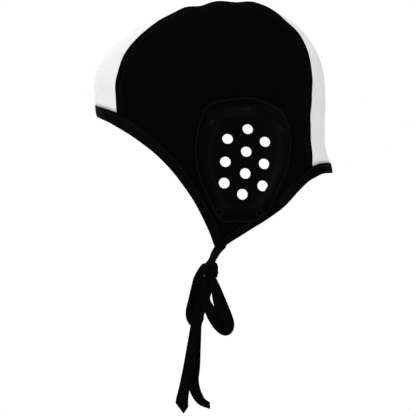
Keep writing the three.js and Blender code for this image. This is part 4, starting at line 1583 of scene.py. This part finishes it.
def add_node(tree, kind, inputs, **settings):
    node = tree.nodes.new("ShaderNode" + kind)
    for setting, value in settings.items():
        setattr(node, setting, value)
    feed(tree, node, inputs)
    return node


def maths(tree, operation, *values):
    """Result of a Math node; each value is a number or the socket that it comes from."""
    return add_node(tree, "Math", dict(enumerate(values)), operation=operation).outputs[0]


def mixed(tree, share, first, second):
    """Colour at a share of the way between two."""
    inputs = {"Factor": share, "A": first, "B": second}
    return add_node(tree, "Mix", inputs, data_type="RGBA").outputs["Result"]


def spread(tree, value, low, high):
    """Share of the way between two values, from 0 to 1."""
    inputs = {"Value": value, "From Min": low, "From Max": high}
    return add_node(tree, "MapRange", inputs).outputs[0]


def marked(tree, mark):
    return add_node(tree, "Attribute", {}, attribute_name=mark).outputs["Fac"]


def new_group(name, inputs, outputs):
    """A node group with sockets given as name and kind, its inputs and its output node."""
    group = bpy.data.node_groups.new(name, "ShaderNodeTree")
    for way, sockets in (("INPUT", inputs), ("OUTPUT", outputs)):
        for socket, kind in sockets.items():
            group.interface.new_socket(socket, in_out=way, socket_type="NodeSocket" + kind)
    return group, group.nodes.new("NodeGroupInput").outputs, group.nodes.new("NodeGroupOutput")


def weave_group():
    """Crossing threads of a knitted or woven cloth, at a pitch in metres, with a mask of painted shade in the gaps
    between them.
    """
    inputs = {"Place": "Vector", "Pitch": "Float", "Slant": "Float"}
    group, given, result = new_group("woven_threads", inputs, {"Height": "Float", "Shaded gaps": "Float"})
    place = add_node(group, "SeparateXYZ", {0: given["Place"]}).outputs
    turns = maths(group, "DIVIDE", FULL_TURN, given["Pitch"])
    across = maths(group, "ADD", place[0], maths(group, "MULTIPLY", place[1], given["Slant"]))
    warp = maths(group, "SINE", maths(group, "MULTIPLY", across, turns))
    weft = maths(group, "SINE", maths(group, "MULTIPLY", place[1], turns))
    crossing = maths(group, "MULTIPLY", maths(group, "MULTIPLY", warp, weft), 0.5)
    ribs = maths(group, "MULTIPLY", maths(group, "ABSOLUTE", warp), 0.5)
    height = maths(group, "ADD", crossing, ribs)
    gaps = maths(group, "MAXIMUM", maths(group, "SUBTRACT", SHADE_BELOW, height), 0.0)
    feed(group, result, {"Height": height, "Shaded gaps": gaps})
    return group


def uneven_group():
    """Soft unevenness of dye, dust and handling: a colour drifts towards another."""
    inputs = {"Place": "Vector", "Colour": "Color", "Drift": "Color"}
    inputs |= {"Size": "Float", "Amount": "Float"}
    outputs = {"Colour": "Color", "Patches": "Float"}
    group, given, result = new_group("uneven_finish", inputs, outputs)
    settings = {"Vector": given["Place"], "Scale": given["Size"], "Detail": 4.0, "Roughness": 0.6}
    patches = spread(group, add_node(group, "TexNoise", settings).outputs["Fac"], *PATCH_SPAN)
    share = maths(group, "MULTIPLY", patches, given["Amount"])
    colour = mixed(group, share, given["Colour"], given["Drift"])
    feed(group, result, {"Colour": colour, "Patches": patches})
    return group


def edge_highlight_group():
    """Painted highlight: paler colour on the raised or marked edges of a moulded or folded piece."""
    inputs = {"Colour": "Color", "Highlight": "Color", "Amount": "Float", "Marked": "Float"}
    group, given, result = new_group("painted_edge_highlight", inputs, {"Colour": "Color"})
    raised = spread(group, add_node(group, "NewGeometry", {}).outputs["Pointiness"], *HIGHLIGHT_SPAN)
    pointed_highlight = maths(group, "MULTIPLY", raised, given["Amount"])
    share = maths(group, "MAXIMUM", pointed_highlight, given["Marked"])
    feed(group, result, {"Colour": mixed(group, share, given["Colour"], given["Highlight"])})
    return group


weave = weave_group()
uneven = uneven_group()
edge_highlight = edge_highlight_group()


def woven(tree, places, pitch, slant):
    inputs = {"Place": places["UV"], "Pitch": pitch, "Slant": slant}
    return add_node(tree, "Group", inputs, node_tree=weave).outputs


def dyed(tree, places, colour, drift, size, amount):
    inputs = {"Place": places["Object"], "Colour": colour, "Drift": drift}
    inputs |= {"Size": size, "Amount": amount}
    return add_node(tree, "Group", inputs, node_tree=uneven).outputs


# Painted highlight on the raised edges and on marked places
def highlighted_edges(tree, colour, highlight_colour, amount, marks):
    inputs = {"Colour": colour, "Highlight": highlight_colour, "Amount": amount, "Marked": marks}
    return add_node(tree, "Group", inputs, node_tree=edge_highlight).outputs["Colour"]


# Materials
# Thicker and thinner yarn of the knit: how often it changes per metre, across and along
COURSES = (380.0, 1100.0, 1.0)
SLUB_DEPTH = 0.75
# Painted shade along the bindings: its share, and its tone as a share of the gap tone
PAINTED_SHADE_SHARE = 0.6
PAINTED_SHADE_TONE = 0.2
# Share of the painted highlight on a guard's marked rims
RIM_HIGHLIGHT_SHARE = 0.17
# How much the roughness of the cloth and of the plastic varies
CLOTH_DRIFT = 0.1
PLASTIC_DRIFT = 0.12


def grey(value):
    return (value, value, value, 1)


def start_material(name, specular):
    """A material with its node tree, its shader and the places on its surface."""
    material = bpy.data.materials.new(name)
    material.use_nodes = True
    tree = material.node_tree
    shader = tree.nodes["Principled BSDF"]
    feed(tree, shader, {"Specular IOR Level": specular})
    return material, tree, shader, tree.nodes.new("ShaderNodeTexCoord").outputs


def add_bump(tree, shader, height, depth, strength):
    inputs = {"Height": height, "Distance": depth, "Strength": strength}
    feed(tree, shader, {"Normal": add_node(tree, "Bump", inputs).outputs["Normal"]})


def cloth_material(name, colour, drift, gap, pitch, roughness, specular, sheen, depth):
    """Stretch cloth: dyed yarn with painted shade in its gaps, a fine relief, uneven dye, and painted shade along the
    bindings.
    """
    material, tree, shader, places = start_material(name, specular)
    dye = dyed(tree, places, grey(colour), grey(drift), size=32.0, amount=0.7)
    yarn = woven(tree, places, pitch, slant=0.0)
    courses = add_node(tree, "Mapping", {"Vector": places["UV"], "Scale": COURSES}).outputs[0]
    slubs = add_node(tree, "TexNoise", {"Vector": courses, "Scale": 1.0, "Detail": 1.0})
    thin = maths(tree, "SUBTRACT", slubs.outputs["Fac"], 0.5)
    thin = maths(tree, "MAXIMUM", maths(tree, "MULTIPLY", thin, SLUB_DEPTH), 0.0)
    # Painted shade in the gaps between the threads, more where the yarn is thin
    gap_shade_share = maths(tree, "MINIMUM", maths(tree, "ADD", yarn["Shaded gaps"], thin), 1.0)
    knit = mixed(tree, gap_shade_share, dye["Colour"], grey(gap))
    # Painted shade where the bindings meet the cloth
    painted_shade = maths(tree, "MULTIPLY", marked(tree, PAINTED_SHADE_MARK), PAINTED_SHADE_SHARE)
    fuzz = maths(tree, "MULTIPLY", dye["Patches"], CLOTH_DRIFT)
    feed(
        tree,
        shader,
        {
            "Base Color": mixed(tree, painted_shade, knit, grey(gap * PAINTED_SHADE_TONE)),
            "Roughness": maths(tree, "ADD", fuzz, roughness - CLOTH_DRIFT / 2),
            "Sheen Weight": sheen,
            "Sheen Roughness": 0.5,
        },
    )
    add_bump(tree, shader, yarn["Height"], depth, strength=0.7)
    return material


def tape_material(name, colour, drift_and_highlight_colour, pitch, specular):
    """Narrow woven tape: slanting ribs, with a painted highlight on its folds and edges."""
    material, tree, shader, places = start_material(name, specular)
    dye = dyed(tree, places, grey(colour), grey(drift_and_highlight_colour), size=70.0, amount=0.5)
    # Painted highlight on the tape's folds and edges
    highlighted_folds = highlighted_edges(tree, dye["Colour"], grey(drift_and_highlight_colour), amount=0.7, marks=0.0)
    feed(tree, shader, {"Base Color": highlighted_folds, "Roughness": 0.7})
    ribs = woven(tree, places, pitch, slant=0.6)
    add_bump(tree, shader, ribs["Height"], depth=0.00018, strength=0.8)
    return material


def moulded_material():
    """Satin moulded plastic with a fine grain and a painted highlight on its rims."""
    material, tree, shader, places = start_material("moulded_black", specular=0.012)
    bloom = dyed(tree, places, colour=grey(0.0012), drift=grey(0.0018), size=55.0, amount=0.7)
    # Painted highlight along the guard's marked rims and its raised edges
    marks = maths(tree, "MULTIPLY", marked(tree, RIM_HIGHLIGHT_MARK), RIM_HIGHLIGHT_SHARE)
    highlighted_rims = highlighted_edges(tree, bloom["Colour"], highlight_colour=grey(0.022), amount=0.15, marks=marks)
    shine = maths(tree, "MULTIPLY", bloom["Patches"], PLASTIC_DRIFT)
    feed(tree, shader, {"Base Color": highlighted_rims, "Roughness": maths(tree, "ADD", shine, 0.44)})
    inputs = {"Vector": places["Object"], "Scale": 2600.0, "Detail": 3.0}
    grain = add_node(tree, "TexNoise", inputs).outputs["Fac"]
    add_bump(tree, shader, grain, depth=0.00004, strength=0.5)
    return material


def thread_material():
    """Twisted black thread."""
    material, tree, shader, places = start_material("black_thread", specular=0.1)
    shade = dyed(tree, places, colour=grey(0.005), drift=grey(0.011), size=300.0, amount=0.8)
    feed(tree, shader, {"Base Color": shade["Colour"], "Roughness": 0.6})
    inputs = {"Vector": places["Object"], "Scale": 900.0, "Distortion": 1.0}
    twist = add_node(tree, "TexWave", inputs).outputs["Fac"]
    add_bump(tree, shader, twist, depth=0.00006, strength=0.6)
    return material


def dress(material, *pieces):
    for piece in pieces:
        piece.data.materials.clear()
        piece.data.materials.append(material)


# The gap tone of each cloth is the painted shade in the gaps of its knit
black_cloth = cloth_material(
    "black_stretch_cloth",
    colour=0.0012,
    drift=0.0018,
    gap=0.0006,
    pitch=0.00062,
    roughness=0.78,
    specular=0.011,
    sheen=0.0,
    depth=0.00010,
)
white_cloth = cloth_material(
    "white_stretch_cloth",
    colour=0.86,
    drift=0.82,
    gap=0.58,
    pitch=0.00085,
    roughness=0.72,
    specular=0.25,
    sheen=0.05,
    depth=0.00014,
)
# The second tone of each tape is both the drift of its dye and its painted edge highlight
edge_tape = tape_material(
    "black_edge_tape", colour=0.0011, drift_and_highlight_colour=0.0036, pitch=0.0008, specular=0.013
)
tie_tape = tape_material(
    "black_tie_tape", colour=0.0013, drift_and_highlight_colour=0.0032, pitch=0.0009, specular=0.014
)
dress(black_cloth, side_cloth_left, side_cloth_right)
dress(white_cloth, centre_cloth)
dress(edge_tape, front_edge, back_edge)
dress(tie_tape, knot, *(piece for piece, _stations in tapes.values()))
dress(moulded_material(), guard_left, guard_right)
dress(thread_material(), seam_thread, binding_thread, guard_thread)


# Floor, world and lights
FLOOR_LEVEL = -0.42
WORLD_SEEN = 1.0
WORLD_LIT = 0.42
# Soft lights: name, place, size and power in watts
LIGHTS = (
    ("front_light", (1.5, -1.9, 0.5), 1.4, 23.0),
    ("brow_light", (-0.2, -2.3, 1.0), 1.4, 7.0),
    ("back_light", (1.3, 2.0, 0.4), 1.4, 17.0),
    ("top_light", (0.4, 0.1, 2.0), 1.6, 21.0),
    ("far_light", (-2.0, -0.6, 0.6), 1.6, 20.0),
)

floor = primitive(
    bpy.ops.mesh.primitive_circle_add,
    vertices=96,
    radius=3.0,
    fill_type="NGON",
    location=(0, 0, FLOOR_LEVEL),
)
floor.name = "floor"
floor_finish = bpy.data.materials.new("pale_floor")
floor_finish.use_nodes = True
floor_shader = floor_finish.node_tree.nodes["Principled BSDF"]
feed(floor_finish.node_tree, floor_shader, {"Base Color": grey(0.82), "Roughness": 0.9})
dress(floor_finish, floor)
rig.stage(floor)

bpy.context.scene.view_settings.view_transform = "Standard"
world = bpy.data.worlds.new("studio")
bpy.context.scene.world = world
world.use_nodes = True
sky = world.node_tree
sky.nodes.clear()
lit, seen = (
    add_node(sky, "Background", {"Color": grey(1.0), "Strength": strength}).outputs[0]
    for strength in (WORLD_LIT, WORLD_SEEN)
)
from_camera = sky.nodes.new("ShaderNodeLightPath").outputs["Is Camera Ray"]
shown = add_node(sky, "MixShader", {0: from_camera, 1: lit, 2: seen}).outputs[0]
add_node(sky, "OutputWorld", {"Surface": shown})

for name, place, size, power in LIGHTS:
    light = bpy.data.lights.new(name, "AREA")
    light.size = size
    light.energy = power
    lamp = linked(name, light)
    lamp.location = place
    lamp.rotation_euler = (AIM - Vector(place)).to_track_quat("-Z", "Y").to_euler()
    lamp.visible_camera = False

bpy.context.view_layer.update()
with open("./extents.json", "w") as out:
    json.dump(
        {
            "cad": [list(corner) for corner in cad_box],
            "visual": [list(corner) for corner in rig.bounds()],
        },
        out,
    )
